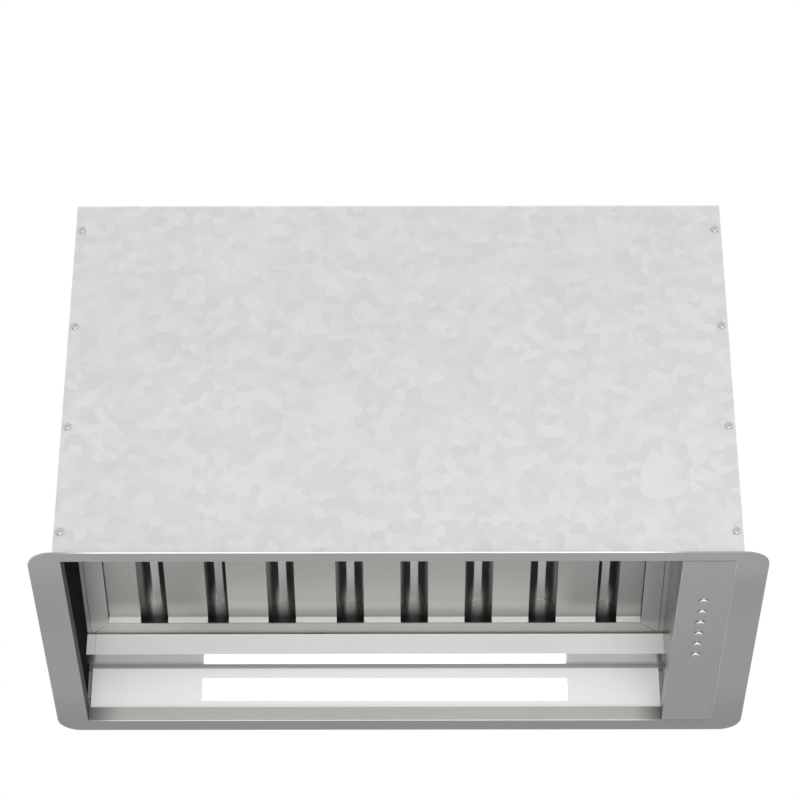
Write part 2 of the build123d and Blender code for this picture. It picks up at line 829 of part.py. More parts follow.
# Two pins at the rear ends of the frame, which turn in the recess's side walls.
with BuildPart() as filter_pins:
    for end_x, wall_x, outward in ((filter_left, left_wall_x, -1), (filter_right, right_wall_x, 1)):
        with BuildSketch(Plane.YZ.offset(end_x)):
            with Locations((pivot.Y, pivot.Z)):
                Circle(pivot_radius)
        extrude(amount=wall_x - end_x + outward * (sheet + pivot_reach))
filter_pins.part.label = "filter_pins"
export_step(filter_pins.part, "parts/filter_pins.step")

# Side guides: an angle on each side wall, whose lower leg lies flush beside the filter.
guide_length = filter_depth - pivot_back - pivot_radius - guide_pin_gap
guide_y = -filter_depth + guide_length / 2
with BuildPart() as side_guides:
    for wall_x, end_x, inward in ((left_wall_x, filter_left, 1), (right_wall_x, filter_right, -1)):
        cover = abs(end_x - wall_x) - guide_gap
        guide_x = wall_x - filter_x
        with BuildSketch(filter_plane):
            with Locations((guide_x + inward * cover / 2, frame_mid_y)):
                Rectangle(cover, filter_depth)
        extrude(amount=guide_sheet)
        with BuildSketch(filter_plane.offset(guide_sheet)):
            with Locations((guide_x + inward * guide_sheet / 2, guide_y)):
                Rectangle(guide_sheet, guide_length)
        extrude(amount=guide_leg - guide_sheet)
side_guides.part.label = "side_guides"
export_step(side_guides.part, "parts/side_guides.step")

# Lugs under the front border: two saddles for each pull ring.
lug_radius = ring_wire + run_gap + lug_wall
ring_places = [(-ring_spacing / 2, "left"), (ring_spacing / 2, "right")]
lug_centre = ring_width / 2 - ring_corner - lug_length
with BuildPart() as ring_lugs:
    for place, _ in ring_places:
        for side in (-1, 1):
            lug_x = filter_x + place + side * lug_centre - lug_length / 2
            lug_view = Plane(
                origin=(lug_x, ring_axis.Y, ring_axis.Z),
                x_dir=filter_plane.y_dir,
                z_dir=(1, 0, 0),
            )
            with BuildSketch(lug_view):
                Circle(lug_radius)
                with Locations((0, ring_axis_drop / 2)):
                    Rectangle(2 * lug_radius, ring_axis_drop)
                Circle(ring_wire + run_gap, mode=Mode.SUBTRACT)
            extrude(amount=lug_length)
ring_lugs.part.label = "ring_lugs"
export_step(ring_lugs.part, "parts/ring_lugs.step")

# Pull rings: closed wire loops that hang from the lugs.
for place, side_name in ring_places:
    with BuildPart() as pull_ring:
        ring_face = Plane(
            origin=(filter_x + place, ring_axis.Y, ring_axis.Z), x_dir=(1, 0, 0), z_dir=(0, -1, 0)
        )
        with BuildSketch(ring_face, mode=Mode.PRIVATE) as ring_outline:
            with Locations((0, -ring_drop / 2)):
                RectangleRounded(ring_width, ring_drop, ring_corner)
        with BuildSketch(Plane(origin=ring_face.origin, x_dir=(0, 1, 0), z_dir=(1, 0, 0))):
            Circle(ring_wire)
        sweep(path=ring_outline.sketch.wires()[0])
    pull_ring.part.label = f"pull_ring_{side_name}"
    export_step(pull_ring.part, f"parts/pull_ring_{side_name}.step")

# Front stop: an angle on the front panel over the filter's front edge, with two magnets.
stop_local = Vector(0, -filter_depth, filter_height)
stop_edge = filter_plane.from_local_coords(stop_local)
stop_z = stop_edge.Z + slide_gap + magnet_thickness
stop_left = -lip_length_x / 2
with BuildPart() as filter_stop:
    with BuildSketch(Plane.YZ.offset(stop_left)):
        with BuildLine():
            Polyline(
                (front_inside, stop_z),
                (front_inside + stop_leg, stop_z),
                (front_inside + stop_leg, stop_z + sheet),
                (front_inside + sheet, stop_z + sheet),
                (front_inside + sheet, stop_z + stop_leg),
                (front_inside, stop_z + stop_leg),
                close=True,
            )
        make_face()
    extrude(amount=filter_right - stop_left)
filter_stop.part.label = "filter_stop"
export_step(filter_stop.part, "parts/filter_stop.step")

with BuildPart() as catch_magnets:
    with BuildSketch(Plane.XY.offset(stop_z)):
        with Locations((filter_x, front_inside + stop_leg - magnet_depth / 2)):
            with GridLocations(ring_spacing, 1, 2, 1):
                Rectangle(magnet_length, magnet_depth)
    extrude(amount=-magnet_thickness)
catch_magnets.part.label = "catch_magnets"
export_step(catch_magnets.part, "parts/catch_magnets.step")

# ---------------------------------------------------------------- blower


def volute(inset):
    """Outline of the scroll seen from the right, set in from its outer face by a wall."""
    radius = cutoff_radius - inset
    left = volute_y + inset
    cutoff_z = volute_z + radius
    with BuildLine() as outline:
        first = CenterArc((volute_y, volute_z), radius, 90, 90)
        CenterArc((volute_y + volute_step, volute_z), radius + volute_step, 180, 90)
        last = CenterArc(
            (volute_y + volute_step, volute_z + volute_step), radius + 2 * volute_step, 270, 90
        )
        corners = [last @ 1, ((last @ 1).X, scroll_top_z), (left, scroll_top_z), (left, cutoff_z)]
        if inset > 0:
            corners.append(first @ 0)
        Polyline(*corners)
    make_face(outline.edges())


half_scroll = scroll_width / 2
for label, side in (("scroll_left", -1), ("scroll_right", 1)):
    with BuildPart() as scroll:
        with BuildSketch(Plane.YZ):
            volute(0)
        extrude(amount=side * half_scroll)
        with BuildSketch(Plane.YZ):
            volute(scroll_wall)
        extrude(amount=side * (half_scroll - scroll_wall), mode=Mode.SUBTRACT)
        with BuildSketch(Plane.YZ.offset(side * half_scroll)):
            with Locations((blower_y, blower_z)):
                Circle(inlet_radius)
        extrude(amount=-side * scroll_wall, mode=Mode.SUBTRACT)
    scroll.part.label = label
    export_step(scroll.part, f"parts/{label}.step")

# Flared inlet rings on both faces of the scroll.
with BuildPart() as inlet_rings:
    for side in (-1, 1):
        with BuildSketch(Plane.YZ.offset(side * half_scroll)):
            with Locations((blower_y, blower_z)):
                Circle(inlet_radius + inlet_ring_width)
                Circle(inlet_radius, mode=Mode.SUBTRACT)
        extrude(amount=side * inlet_ring_height)
    for end in (0, -1):
        outer_face = inlet_rings.faces().filter_by(Axis.X).sort_by(Axis.X)[end]
        fillet(outer_face.inner_wires()[0].edges(), inlet_flare)
inlet_rings.part.label = "inlet_rings"
export_step(inlet_rings.part, "parts/inlet_rings.step")

# Double-inlet impeller: middle disc, hub, leaning blades and an end ring on each side.
blade_half = half_scroll - scroll_wall - impeller_end_gap
blade_mid = (impeller_radius + impeller_inner_radius) / 2
blade_length = (impeller_radius - impeller_inner_radius) / cos(radians(blade_lean))
wheel_plane = Plane(origin=(0, blower_y, blower_z), x_dir=(0, 1, 0), z_dir=(1, 0, 0))
with BuildPart() as impeller:
    with BuildSketch(wheel_plane):
        with PolarLocations(blade_mid, blade_count):
            Rectangle(blade_length, blade_thickness, rotation=blade_lean)
    extrude(amount=blade_half, both=True)
    for side in (-1, 1):
        with BuildSketch(wheel_plane.offset(side * blade_half)):
            Circle(impeller_radius)
            Circle(impeller_radius - end_ring_width, mode=Mode.SUBTRACT)
        extrude(amount=-side * disc_thickness)
    with BuildSketch(wheel_plane):
        Circle(impeller_radius)
    extrude(amount=disc_thickness / 2, both=True)
    with BuildSketch(wheel_plane.offset(disc_thickness / 2)):
        Circle(hub_radius)
    extrude(amount=-hub_length)
    with BuildSketch(wheel_plane.offset(disc_thickness / 2)):
        Circle(shaft_radius)
    extrude(amount=-hub_length, mode=Mode.SUBTRACT)
impeller.part.label = "impeller"
export_step(impeller.part, "parts/impeller.step")

shaft_start = disc_thickness / 2 - hub_length
shaft_end = motor_start + bearing_length + motor_length / 2
with BuildPart() as motor_shaft:
    with BuildSketch(wheel_plane.offset(shaft_start)):
        Circle(shaft_radius)
    extrude(amount=shaft_end - shaft_start)
    chamfer(motor_shaft.edges().filter_by(GeomType.CIRCLE), shaft_chamfer)
motor_shaft.part.label = "motor_shaft"
export_step(motor_shaft.part, "parts/motor_shaft.step")

# Motor can, bored for the shaft and its bearing.
with BuildPart() as motor:
    with BuildSketch(wheel_plane.offset(motor_start)):
        Circle(motor_radius)
    extrude(amount=motor_length)
    fillet(motor.edges().filter_by(GeomType.CIRCLE), motor_edge)
    with BuildSketch(wheel_plane.offset(motor_start)):
        Circle(bearing_radius)
    extrude(amount=bearing_length, mode=Mode.SUBTRACT)
    with BuildSketch(wheel_plane.offset(motor_start)):
        Circle(shaft_radius + shaft_clearance)
    extrude(amount=shaft_end - motor_start + sheet, mode=Mode.SUBTRACT)
motor.part.label = "motor"
export_step(motor.part, "parts/motor.step")

with BuildPart() as motor_bearing:
    with BuildSketch(wheel_plane.offset(motor_start)):
        Circle(bearing_radius)
        Circle(shaft_radius + run_gap, mode=Mode.SUBTRACT)
    extrude(amount=bearing_length)
motor_bearing.part.label = "motor_bearing"
export_step(motor_bearing.part, "parts/motor_bearing.step")

# Three-armed bracket that carries the motor on rubber mounts.
bracket_x = half_scroll + rubber_height
with BuildPart() as motor_bracket:
    with BuildSketch(wheel_plane.offset(bracket_x)):
        Circle(motor_radius - motor_edge)
        with PolarLocations(arm_reach / 2, arm_count):
            Rectangle(arm_reach, arm_width)
        with PolarLocations(arm_reach, arm_count):
            Circle(arm_width / 2)
            Circle(screw_radius, mode=Mode.SUBTRACT)
    extrude(amount=arm_thickness)
motor_bracket.part.label = "motor_bracket"
export_step(motor_bracket.part, "parts/motor_bracket.step")

with BuildPart() as rubber_mounts:
    with BuildSketch(wheel_plane.offset(half_scroll)):
        with PolarLocations(arm_reach, arm_count):
            Circle(rubber_radius)
            Circle(screw_radius, mode=Mode.SUBTRACT)
    extrude(amount=rubber_height)
rubber_mounts.part.label = "rubber_mounts"
export_step(rubber_mounts.part, "parts/rubber_mounts.step")

with BuildPart() as motor_screws:
    with BuildSketch(wheel_plane.offset(bracket_x + arm_thickness)):
        with PolarLocations(arm_reach, arm_count):
            Circle(screw_head_radius)
    extrude(amount=screw_head)
    with BuildSketch(wheel_plane.offset(bracket_x + arm_thickness)):
        with PolarLocations(arm_reach, arm_count):
            Circle(screw_radius)
    extrude(amount=-arm_thickness - rubber_height)
motor_screws.part.label = "motor_screws"
export_step(motor_screws.part, "parts/motor_screws.step")

# Hangers from the top pan down the two faces of the scroll.
hanger_low = top_underside - hanger_drop
with BuildPart() as blower_hangers:
    for side in (-1, 1):
        inner_x = side * half_scroll
        outer_x = side * (half_scroll + hanger_thickness)
        foot_x = side * (half_scroll + hanger_foot)
        with BuildSketch(Plane.XZ.offset(-volute_y)):
            with BuildLine():
                Polyline(
                    (inner_x, top_underside),
                    (inner_x, hanger_low),
                    (outer_x, hanger_low),
                    (outer_x, top_underside - hanger_thickness),
                    (foot_x, top_underside - hanger_thickness),
                    (foot_x, top_underside),
                    close=True,
                )
            make_face()
        extrude(amount=hanger_width)
blower_hangers.part.label = "blower_hangers"
export_step(blower_hangers.part, "parts/blower_hangers.step")

# Duct from the scroll's square mouth to the round collar.
with BuildPart() as outlet_duct:
    with BuildSketch(Plane.XY.offset(scroll_top_z)):
        with Locations((0, outlet_y)):
            RectangleRounded(scroll_width, outlet_width, bend_radius)
    with BuildSketch(Plane.XY.offset(top_underside)):
        with Locations((0, outlet_y)):
            Circle(spigot_inner)
    loft()
    with BuildSketch(Plane.XY.offset(scroll_top_z)):
        with Locations((0, outlet_y)):
            RectangleRounded(
                scroll_width - 2 * scroll_wall, outlet_width - 2 * scroll_wall, bend_radius / 2
            )
    with BuildSketch(Plane.XY.offset(top_underside)):
        with Locations((0, outlet_y)):
            Circle(spigot_inner - scroll_wall)
    loft(mode=Mode.SUBTRACT)
outlet_duct.part.label = "outlet_duct"
export_step(outlet_duct.part, "parts/outlet_duct.step")

# ---------------------------------------------------------------- outlet collar and flaps
ledge_top = damper_z - flap_thickness / 2 - flap_rest_gap
with BuildPart() as outlet_collar:
    with BuildSketch(Plane.XY.offset(top_z)):
        with Locations((0, outlet_y)):
            Circle(spigot_flange_radius)
            Circle(spigot_inner, mode=Mode.SUBTRACT)
    extrude(amount=sheet)
    with BuildSketch(Plane.XY.offset(top_z)):
        with Locations((0, outlet_y)):
            Circle(spigot_radius)
            Circle(spigot_inner, mode=Mode.SUBTRACT)
    extrude(amount=spigot_height)
    with BuildSketch(Plane.XY.offset(ledge_top)):
        with Locations((0, outlet_y)):
            Circle(spigot_inner)
            Circle(spigot_inner - flap_ledge, mode=Mode.SUBTRACT)
    extrude(amount=-flap_ledge_thickness)
    # notches for the rod, through the ledge and the tube's wall
    with BuildSketch(Plane.XZ.offset(-outlet_y)):
        with Locations((0, damper_z)):
            Circle(damper_rod_radius)
    extrude(amount=spigot_radius + sheet, both=True, mode=Mode.SUBTRACT)
    with BuildSketch(Plane.XY.offset(ledge_top)):
        with Locations((0, outlet_y)):
            Rectangle(2 * (sleeve_radius + slide_gap), 2 * spigot_inner - sheet)
    extrude(amount=-flap_ledge_thickness, mode=Mode.SUBTRACT)
outlet_collar.part.label = "outlet_collar"
export_step(outlet_collar.part, "parts/outlet_collar.step")

with BuildPart() as damper_rod:
    with BuildSketch(Plane.XZ.offset(-outlet_y)):
        with Locations((0, damper_z)):
            Circle(damper_rod_radius)
    extrude(amount=spigot_inner + sheet / 2, both=True)
damper_rod.part.label = "damper_rod"
export_step(damper_rod.part, "parts/damper_rod.step")

# Two half-round flaps. Each has two sleeves on the rod, set between the other's.
plate_edge = sleeve_radius + sleeve_gap
sleeve_pitch = sleeve_length + sleeve_gap
for label, side in (("damper_flap_left", -1), ("damper_flap_right", 1)):
    # the sleeves' middles, one sleeve of this flap and one of the other by turns
    sleeve_ys = [outlet_y + side * k * sleeve_pitch for k in (0.5, -1.5)]
    with BuildPart() as flap:
        with BuildSketch(Plane.XY.offset(damper_z - flap_thickness / 2)):
            with Locations((0, outlet_y)):
                Circle(flap_radius)
            with Locations((-side * (flap_radius - plate_edge), outlet_y)):
                Rectangle(2 * flap_radius, 2 * flap_radius + sheet, mode=Mode.SUBTRACT)
        extrude(amount=flap_thickness)
        for sleeve_y in sleeve_ys:
            with BuildSketch(Plane.XZ.offset(-sleeve_y)):
                with Locations((0, damper_z)):
                    Circle(sleeve_radius)
                with Locations((side * plate_edge / 2, damper_z)):
                    Rectangle(plate_edge, flap_thickness)
            extrude(amount=sleeve_length / 2, both=True)
        with BuildSketch(Plane.XZ.offset(-outlet_y)):
            with Locations((0, damper_z)):
                Circle(sleeve_bore)
        extrude(amount=flap_radius, both=True, mode=Mode.SUBTRACT)
    flap.part.label = label
    export_step(flap.part, f"parts/{label}.step")

# ---------------------------------------------------------------- electrics
# Lamp driver on the control box's roof.
driver_x = (right_wall_x + side_inside) / 2
with BuildPart() as led_driver:
    with BuildSketch(Plane.XY.offset(control_box_height)):
        with Locations((driver_x, driver_y)):
            Rectangle(driver_size[0], driver_size[1])
    extrude(amount=driver_size[2])
    fillet(led_driver.edges().filter_by(Axis.Z), driver_corner)
    fillet(led_driver.faces().sort_by(Axis.Z)[-1].edges(), driver_edge)
led_driver.part.label = "led_driver"
export_step(led_driver.part, "parts/led_driver.step")

# Speed control board on posts from the right side panel.
board_face_x = side_inside - power_board_gap
power_board_low_z = control_box_height + driver_size[2] + power_board_clearance
power_board_z = power_board_low_z + power_board_size[2] / 2
post_pitch_y = power_board_size[1] - 2 * post_inset
post_pitch_z = power_board_size[2] - 2 * post_inset
with BuildPart() as power_board:
    with BuildSketch(Plane.YZ.offset(board_face_x)):
        with Locations((power_board_y, power_board_z)):
            Rectangle(power_board_size[1], power_board_size[2])
    extrude(amount=-power_board_size[0])
    with BuildSketch(Plane.YZ.offset(board_face_x)):
        with Locations((power_board_y, power_board_z)):
            with GridLocations(post_pitch_y, post_pitch_z, 2, 2):
                Circle(post_radius)
    extrude(amount=side_inside - board_face_x)
    with BuildSketch(Plane.YZ.offset(board_face_x - power_board_size[0])):
        with Locations((power_board_y, power_board_z)):
            with GridLocations(power_block_pitch[0], power_block_pitch[1], 3, 2):
                Rectangle(power_block[0], power_block[1])
    extrude(amount=-power_block[2])
power_board.part.label = "power_board"
export_step(power_board.part, "parts/power_board.step")

# Motor capacitor, upright under the top pan.
capacitor_x = -side_inside + capacitor_inset
with BuildPart() as capacitor:
    with BuildSketch(Plane.XY.offset(top_underside)):
        with Locations((capacitor_x, capacitor_y)):
            Circle(capacitor_radius)
    extrude(amount=-capacitor_length)
    fillet(capacitor.faces().sort_by(Axis.Z)[0].edges(), capacitor_edge)
capacitor.part.label = "capacitor"
export_step(capacitor.part, "parts/capacitor.step")

# Terminal box on the top pan, with a lid and a gland for the mains lead on its left side.
box_x, box_y, box_z = terminal_box_size
terminal_box_x = -side_inside + terminal_box_inset
gland_z = top_z + box_z / 2
gland_face_x = terminal_box_x - box_x / 2
with BuildPart() as terminal_box:
    with BuildSketch(Plane.XY.offset(top_z)):
        with Locations((terminal_box_x, terminal_box_y)):
            Rectangle(box_x, box_y)
    extrude(amount=box_z)
    fillet(terminal_box.edges().filter_by(Axis.Z), terminal_box_corner)
    with BuildSketch(Plane.XY.offset(top_z + terminal_box_wall)):
        with Locations((terminal_box_x, terminal_box_y)):
            Rectangle(box_x - 2 * terminal_box_wall, box_y - 2 * terminal_box_wall)
    extrude(amount=box_z, mode=Mode.SUBTRACT)
    with BuildSketch(Plane.YZ.offset(gland_face_x)):
        with Locations((terminal_box_y, gland_z)):
            Circle(gland_radius)
    extrude(amount=terminal_box_wall, mode=Mode.SUBTRACT)
terminal_box.part.label = "terminal_box"
export_step(terminal_box.part, "parts/terminal_box.step")

with BuildPart() as terminal_lid:
    with BuildSketch(Plane.XY.offset(top_z + box_z)):
        with Locations((terminal_box_x, terminal_box_y)):
            Rectangle(box_x, box_y)
    extrude(amount=terminal_lid_thickness)
    fillet(terminal_lid.edges().filter_by(Axis.Z), terminal_box_corner)
    chamfer(terminal_lid.faces().sort_by(Axis.Z)[-1].edges(), terminal_lid_chamfer)
terminal_lid.part.label = "terminal_lid"
export_step(terminal_lid.part, "parts/terminal_lid.step")

with BuildPart() as cable_gland:
    with BuildSketch(Plane.YZ.offset(gland_face_x + terminal_box_wall)):
        with Locations((terminal_box_y, gland_z)):
            Circle(gland_radius)
    extrude(amount=-terminal_box_wall - gland_reach)
    with BuildSketch(Plane.YZ.offset(gland_face_x)):
        with Locations((terminal_box_y, gland_z)):
            RegularPolygon(gland_nut_radius, 6)
    extrude(amount=-gland_nut)
    with BuildSketch(Plane.YZ.offset(gland_face_x - gland_reach)):
        with Locations((terminal_box_y, gland_z)):
            Circle(gland_bore)
    extrude(amount=gland_reach + terminal_box_wall, mode=Mode.SUBTRACT)
cable_gland.part.label = "cable_gland"
export_step(cable_gland.part, "parts/cable_gland.step")

# ---------------------------------------------------------------- cupboard fixing
# Angle brackets on the side panels. Their feet rest on the cupboard board, with screw holes.
fixing_x = housing_width / 2 + bracket_foot - fixing_edge
for label, side in (("fixing_bracket_left", -1), ("fixing_bracket_right", 1)):
    wall_x = side * housing_width / 2
    with BuildPart() as bracket:
        with BuildSketch(Plane.XZ.offset(-housing_y + bracket_length / 2)):
            with BuildLine():
                Polyline(
                    (wall_x, board_thickness),
                    (wall_x + side * bracket_foot, board_thickness),
                    (wall_x + side * bracket_foot, board_thickness + bracket_thickness),
                    (
                        wall_x + side * bracket_thickness,
                        board_thickness + bracket_thickness,
                    ),
                    (wall_x + side * bracket_thickness, board_thickness + bracket_height),
                    (wall_x, board_thickness + bracket_height),
                    close=True,
                )
            make_face()
        extrude(amount=-bracket_length)
        with BuildSketch(Plane.XY.offset(board_thickness)):
            with Locations((side * fixing_x, housing_y)):
                with GridLocations(1, fixing_spacing_y, 1, 2):
                    Circle(fixing_hole_radius)
        extrude(amount=bracket_thickness, mode=Mode.SUBTRACT)
    bracket.part.label = label
    export_step(bracket.part, f"parts/{label}.step")

# Screws that hold the brackets to the side panels.
bracket_screw_z = board_thickness + bracket_screw_height
with BuildPart() as bracket_screws:
    for side in (-1, 1):
        head_x = side * (housing_width / 2 + bracket_thickness)
        with BuildSketch(Plane.YZ.offset(head_x)):
            with Locations((housing_y, bracket_screw_z)):
                with GridLocations(fixing_spacing_y, 1, 2, 1):
                    Circle(screw_head_radius)
        extrude(amount=side * screw_head)
bracket_screws.part.label = "bracket_screws"
export_step(bracket_screws.part, "parts/bracket_screws.step")

# Screws round the collar's flange.
collar_screw_radius = (spigot_radius + spigot_flange_radius) / 2
with BuildPart() as collar_screws:
    with BuildSketch(Plane.XY.offset(top_z + sheet)):
        with Locations((0, outlet_y)):
            with PolarLocations(collar_screw_radius, 4, start_angle=45):
                Circle(screw_head_radius)
    extrude(amount=screw_head)
    chamfer(collar_screws.faces().group_by(Axis.Z)[-1].edges(), screw_chamfer)
collar_screws.part.label = "collar_screws"
export_step(collar_screws.part, "parts/collar_screws.step")
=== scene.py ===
from math import pi, radians

import bpy
from mathutils import Matrix, Vector


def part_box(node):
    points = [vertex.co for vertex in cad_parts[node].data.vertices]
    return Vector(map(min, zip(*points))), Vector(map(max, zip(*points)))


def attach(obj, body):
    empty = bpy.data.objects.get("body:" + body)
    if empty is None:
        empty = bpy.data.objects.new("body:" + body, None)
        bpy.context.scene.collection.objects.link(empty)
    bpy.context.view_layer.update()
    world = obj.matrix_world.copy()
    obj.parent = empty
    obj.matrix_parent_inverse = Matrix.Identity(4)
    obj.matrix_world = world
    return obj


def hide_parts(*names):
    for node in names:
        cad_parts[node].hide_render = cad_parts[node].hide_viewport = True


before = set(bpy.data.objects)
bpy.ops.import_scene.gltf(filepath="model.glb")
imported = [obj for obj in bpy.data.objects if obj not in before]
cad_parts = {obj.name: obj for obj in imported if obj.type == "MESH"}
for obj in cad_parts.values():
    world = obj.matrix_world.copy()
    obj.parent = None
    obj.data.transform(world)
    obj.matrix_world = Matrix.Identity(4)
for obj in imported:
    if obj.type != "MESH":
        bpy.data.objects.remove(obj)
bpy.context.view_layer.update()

# ------------------------------------------------------------------ camera
# The insert is seen from the front and from well below, as by someone who stands at the cooker.
camera_place = (0.0069, -2.1248, -1.2253)
camera_tilt = 34.52
camera_turn = 0.16
camera_lens = 138.29

camera_data = bpy.data.cameras.new("camera")
camera_data.lens = camera_lens
camera_data.clip_start = 0.05
camera_data.clip_end = 50.0
camera = bpy.data.objects.new("camera", camera_data)
camera.location = camera_place
camera.rotation_euler = (radians(90.0 + camera_tilt), 0.0, radians(camera_turn))
bpy.context.scene.collection.objects.link(camera)
bpy.context.scene.camera = camera

# ------------------------------------------------------------------ room
# A white studio. The pale floor lies well below the insert, which hangs free in the air, and
# shows its upper side only, so that it never hides the insert from a low view.
floor_drop = 2.6
floor_size = 14.0
floor_colour = (0.92, 0.92, 0.92)
world_fill = 0.88
front_lamp_power = 34.0
side_lamp_power = 10.0
top_lamp_power = 16.0


def add_lamp(name, place, aim, size, power):
    """A square soft lamp that looks at a point."""
    data = bpy.data.lights.new(name, "AREA")
    data.size = size
    data.energy = power
    lamp = bpy.data.objects.new(name, data)
    lamp.location = place
    lamp.rotation_euler = (Vector(aim) - Vector(place)).to_track_quat("-Z", "Y").to_euler()
    bpy.context.scene.collection.objects.link(lamp)


def white_for_seen_rays(tree):
    """1 for camera, glossy and transmission rays, which see the plain white background."""
    path = tree.nodes.new("ShaderNodeLightPath")
    seen = path.outputs["Is Camera Ray"]
    for ray in ("Is Glossy Ray", "Is Transmission Ray"):
        either = tree.nodes.new("ShaderNodeMath")
        either.operation = "MAXIMUM"
        tree.links.new(seen, either.inputs[0])
        tree.links.new(path.outputs[ray], either.inputs[1])
        seen = either.outputs["Value"]
    return seen


world = bpy.data.worlds.new("studio")
world.use_nodes = True
bpy.context.scene.world = world
tree = world.node_tree
fill = tree.nodes["Background"]
fill.inputs["Color"].default_value = (1.0, 1.0, 1.0, 1.0)
fill.inputs["Strength"].default_value = world_fill
white = tree.nodes.new("ShaderNodeBackground")
white.inputs["Color"].default_value = (1.0, 1.0, 1.0, 1.0)
white.inputs["Strength"].default_value = 1.0
either = tree.nodes.new("ShaderNodeMixShader")
tree.links.new(white_for_seen_rays(tree), either.inputs["Fac"])
tree.links.new(fill.outputs["Background"], either.inputs[1])
tree.links.new(white.outputs["Background"], either.inputs[2])
tree.links.new(either.outputs["Shader"], tree.nodes["World Output"].inputs["Surface"])

bpy.ops.object.select_all(action="DESELECT")
bpy.ops.mesh.primitive_plane_add(size=floor_size, location=(0.0, 0.0, -floor_drop))
floor = bpy.context.object
floor.name = "studio_floor"
floor_material = bpy.data.materials.new("pale floor")
floor_material.use_nodes = True
tree = floor_material.node_tree
shader = tree.nodes["Principled BSDF"]
shader.inputs["Base Color"].default_value = (*floor_colour, 1.0)
shader.inputs["Roughness"].default_value = 0.9
side = tree.nodes.new("ShaderNodeNewGeometry")
clear = tree.nodes.new("ShaderNodeBsdfTransparent")
either = tree.nodes.new("ShaderNodeMixShader")
tree.links.new(side.outputs["Backfacing"], either.inputs["Fac"])
tree.links.new(shader.outputs["BSDF"], either.inputs[1])
tree.links.new(clear.outputs["BSDF"], either.inputs[2])
tree.links.new(either.outputs["Shader"], tree.nodes["Material Output"].inputs["Surface"])
floor.data.materials.append(floor_material)

add_lamp("front lamp", (0.2, -2.5, -1.0), (0.0, 0.0, 0.0), 1.6, front_lamp_power)
add_lamp("right lamp", (2.4, -1.2, 0.8), (0.0, 0.0, 0.1), 1.4, side_lamp_power)
add_lamp("top lamp", (-0.8, 0.6, 2.4), (0.0, 0.0, 0.2), 1.8, top_lamp_power)
bpy.context.scene.view_settings.view_transform = "Standard"

# ------------------------------------------------------------------ flange
# One pressed sheet of stainless steel with a fine satin finish. A lip is turned up round its
# opening, and the cupboard's floor board lies on it.


def start_material(name, colour, metallic, roughness):
    """A material with one Principled shader and its plain values."""
    material = bpy.data.materials.new(name)
    material.use_nodes = True
    shader = material.node_tree.nodes["Principled BSDF"]
    shader.inputs["Base Color"].default_value = (*colour, 1.0)
    shader.inputs["Metallic"].default_value = metallic
    shader.inputs["Roughness"].default_value = roughness
    return material, shader


def new_group(name, sockets_in, sockets_out):
    """An empty shader group. A socket is (name, type, default), or (name, type) where it leaves."""
    group = bpy.data.node_groups.new(name, "ShaderNodeTree")
    for socket_name, kind, default in sockets_in:
        socket = group.interface.new_socket(socket_name, in_out="INPUT", socket_type=kind)
        socket.default_value = default
    for socket_name, kind in sockets_out:
        group.interface.new_socket(socket_name, in_out="OUTPUT", socket_type=kind)
    return group, group.nodes.new("NodeGroupInput"), group.nodes.new("NodeGroupOutput")


def add_math(tree, operation, first, second, third=None):
    """One Math node. Each term is a socket or a number."""
    node = tree.nodes.new("ShaderNodeMath")
    node.operation = operation
    for place, term in enumerate((first, second, third)):
        if isinstance(term, (int, float)):
            node.inputs[place].default_value = term
        elif term is not None:
            tree.links.new(term, node.inputs[place])
    return node.outputs["Value"]


def add_scale(tree, vector, factor):
    """A colour or vector times a factor, which may be a socket or a number."""
    node = tree.nodes.new("ShaderNodeVectorMath")
    node.operation = "SCALE"
    tree.links.new(vector, node.inputs[0])
    if isinstance(factor, (int, float)):
        node.inputs["Scale"].default_value = factor
    else:
        tree.links.new(factor, node.inputs["Scale"])
    return node.outputs["Vector"]


def add_noise(tree, vector, scale, detail):
    """A Noise texture less its middle, so about -0.2 to 0.2."""
    noise = tree.nodes.new("ShaderNodeTexNoise")
    noise.inputs["Scale"].default_value = scale
    noise.inputs["Detail"].default_value = detail
    tree.links.new(vector, noise.inputs["Vector"])
    return add_math(tree, "SUBTRACT", noise.outputs["Fac"], 0.5)


def make_brushing():
    """Group: fine lines along one axis with soft clouds, as colour, roughness and height."""
    group, given, result = new_group(
        "brushing",
        (
            ("Colour", "NodeSocketColor", (0.5, 0.5, 0.5, 1.0)),
            ("Stretch", "NodeSocketVector", (20.0, 1500.0, 1500.0)),
            ("Lines", "NodeSocketFloat", 0.10),
            ("Clouds", "NodeSocketFloat", 0.06),
            ("Roughness", "NodeSocketFloat", 0.35),
            ("Spread", "NodeSocketFloat", 0.08),
        ),
        (
            ("Colour", "NodeSocketColor"),
            ("Roughness", "NodeSocketFloat"),
            ("Height", "NodeSocketFloat"),
        ),
    )
    place = group.nodes.new("ShaderNodeTexCoord")
    stretch = group.nodes.new("ShaderNodeMapping")
    group.links.new(place.outputs["Object"], stretch.inputs["Vector"])
    group.links.new(given.outputs["Stretch"], stretch.inputs["Scale"])
    line_shift = add_noise(group, stretch.outputs["Vector"], 1.0, 3.0)
    cloud_shift = add_noise(group, place.outputs["Object"], 7.0, 2.0)
    shade = add_math(group, "MULTIPLY_ADD", line_shift, given.outputs["Lines"], 1.0)
    shade = add_math(group, "MULTIPLY_ADD", cloud_shift, given.outputs["Clouds"], shade)
    group.links.new(add_scale(group, given.outputs["Colour"], shade), result.inputs["Colour"])
    rough = add_math(
        group, "MULTIPLY_ADD", line_shift, given.outputs["Spread"], given.outputs["Roughness"]
    )
    rough = add_math(group, "MULTIPLY_ADD", cloud_shift, given.outputs["Spread"], rough)
    group.links.new(rough, result.inputs["Roughness"])
    group.links.new(line_shift, result.inputs["Height"])
    return group


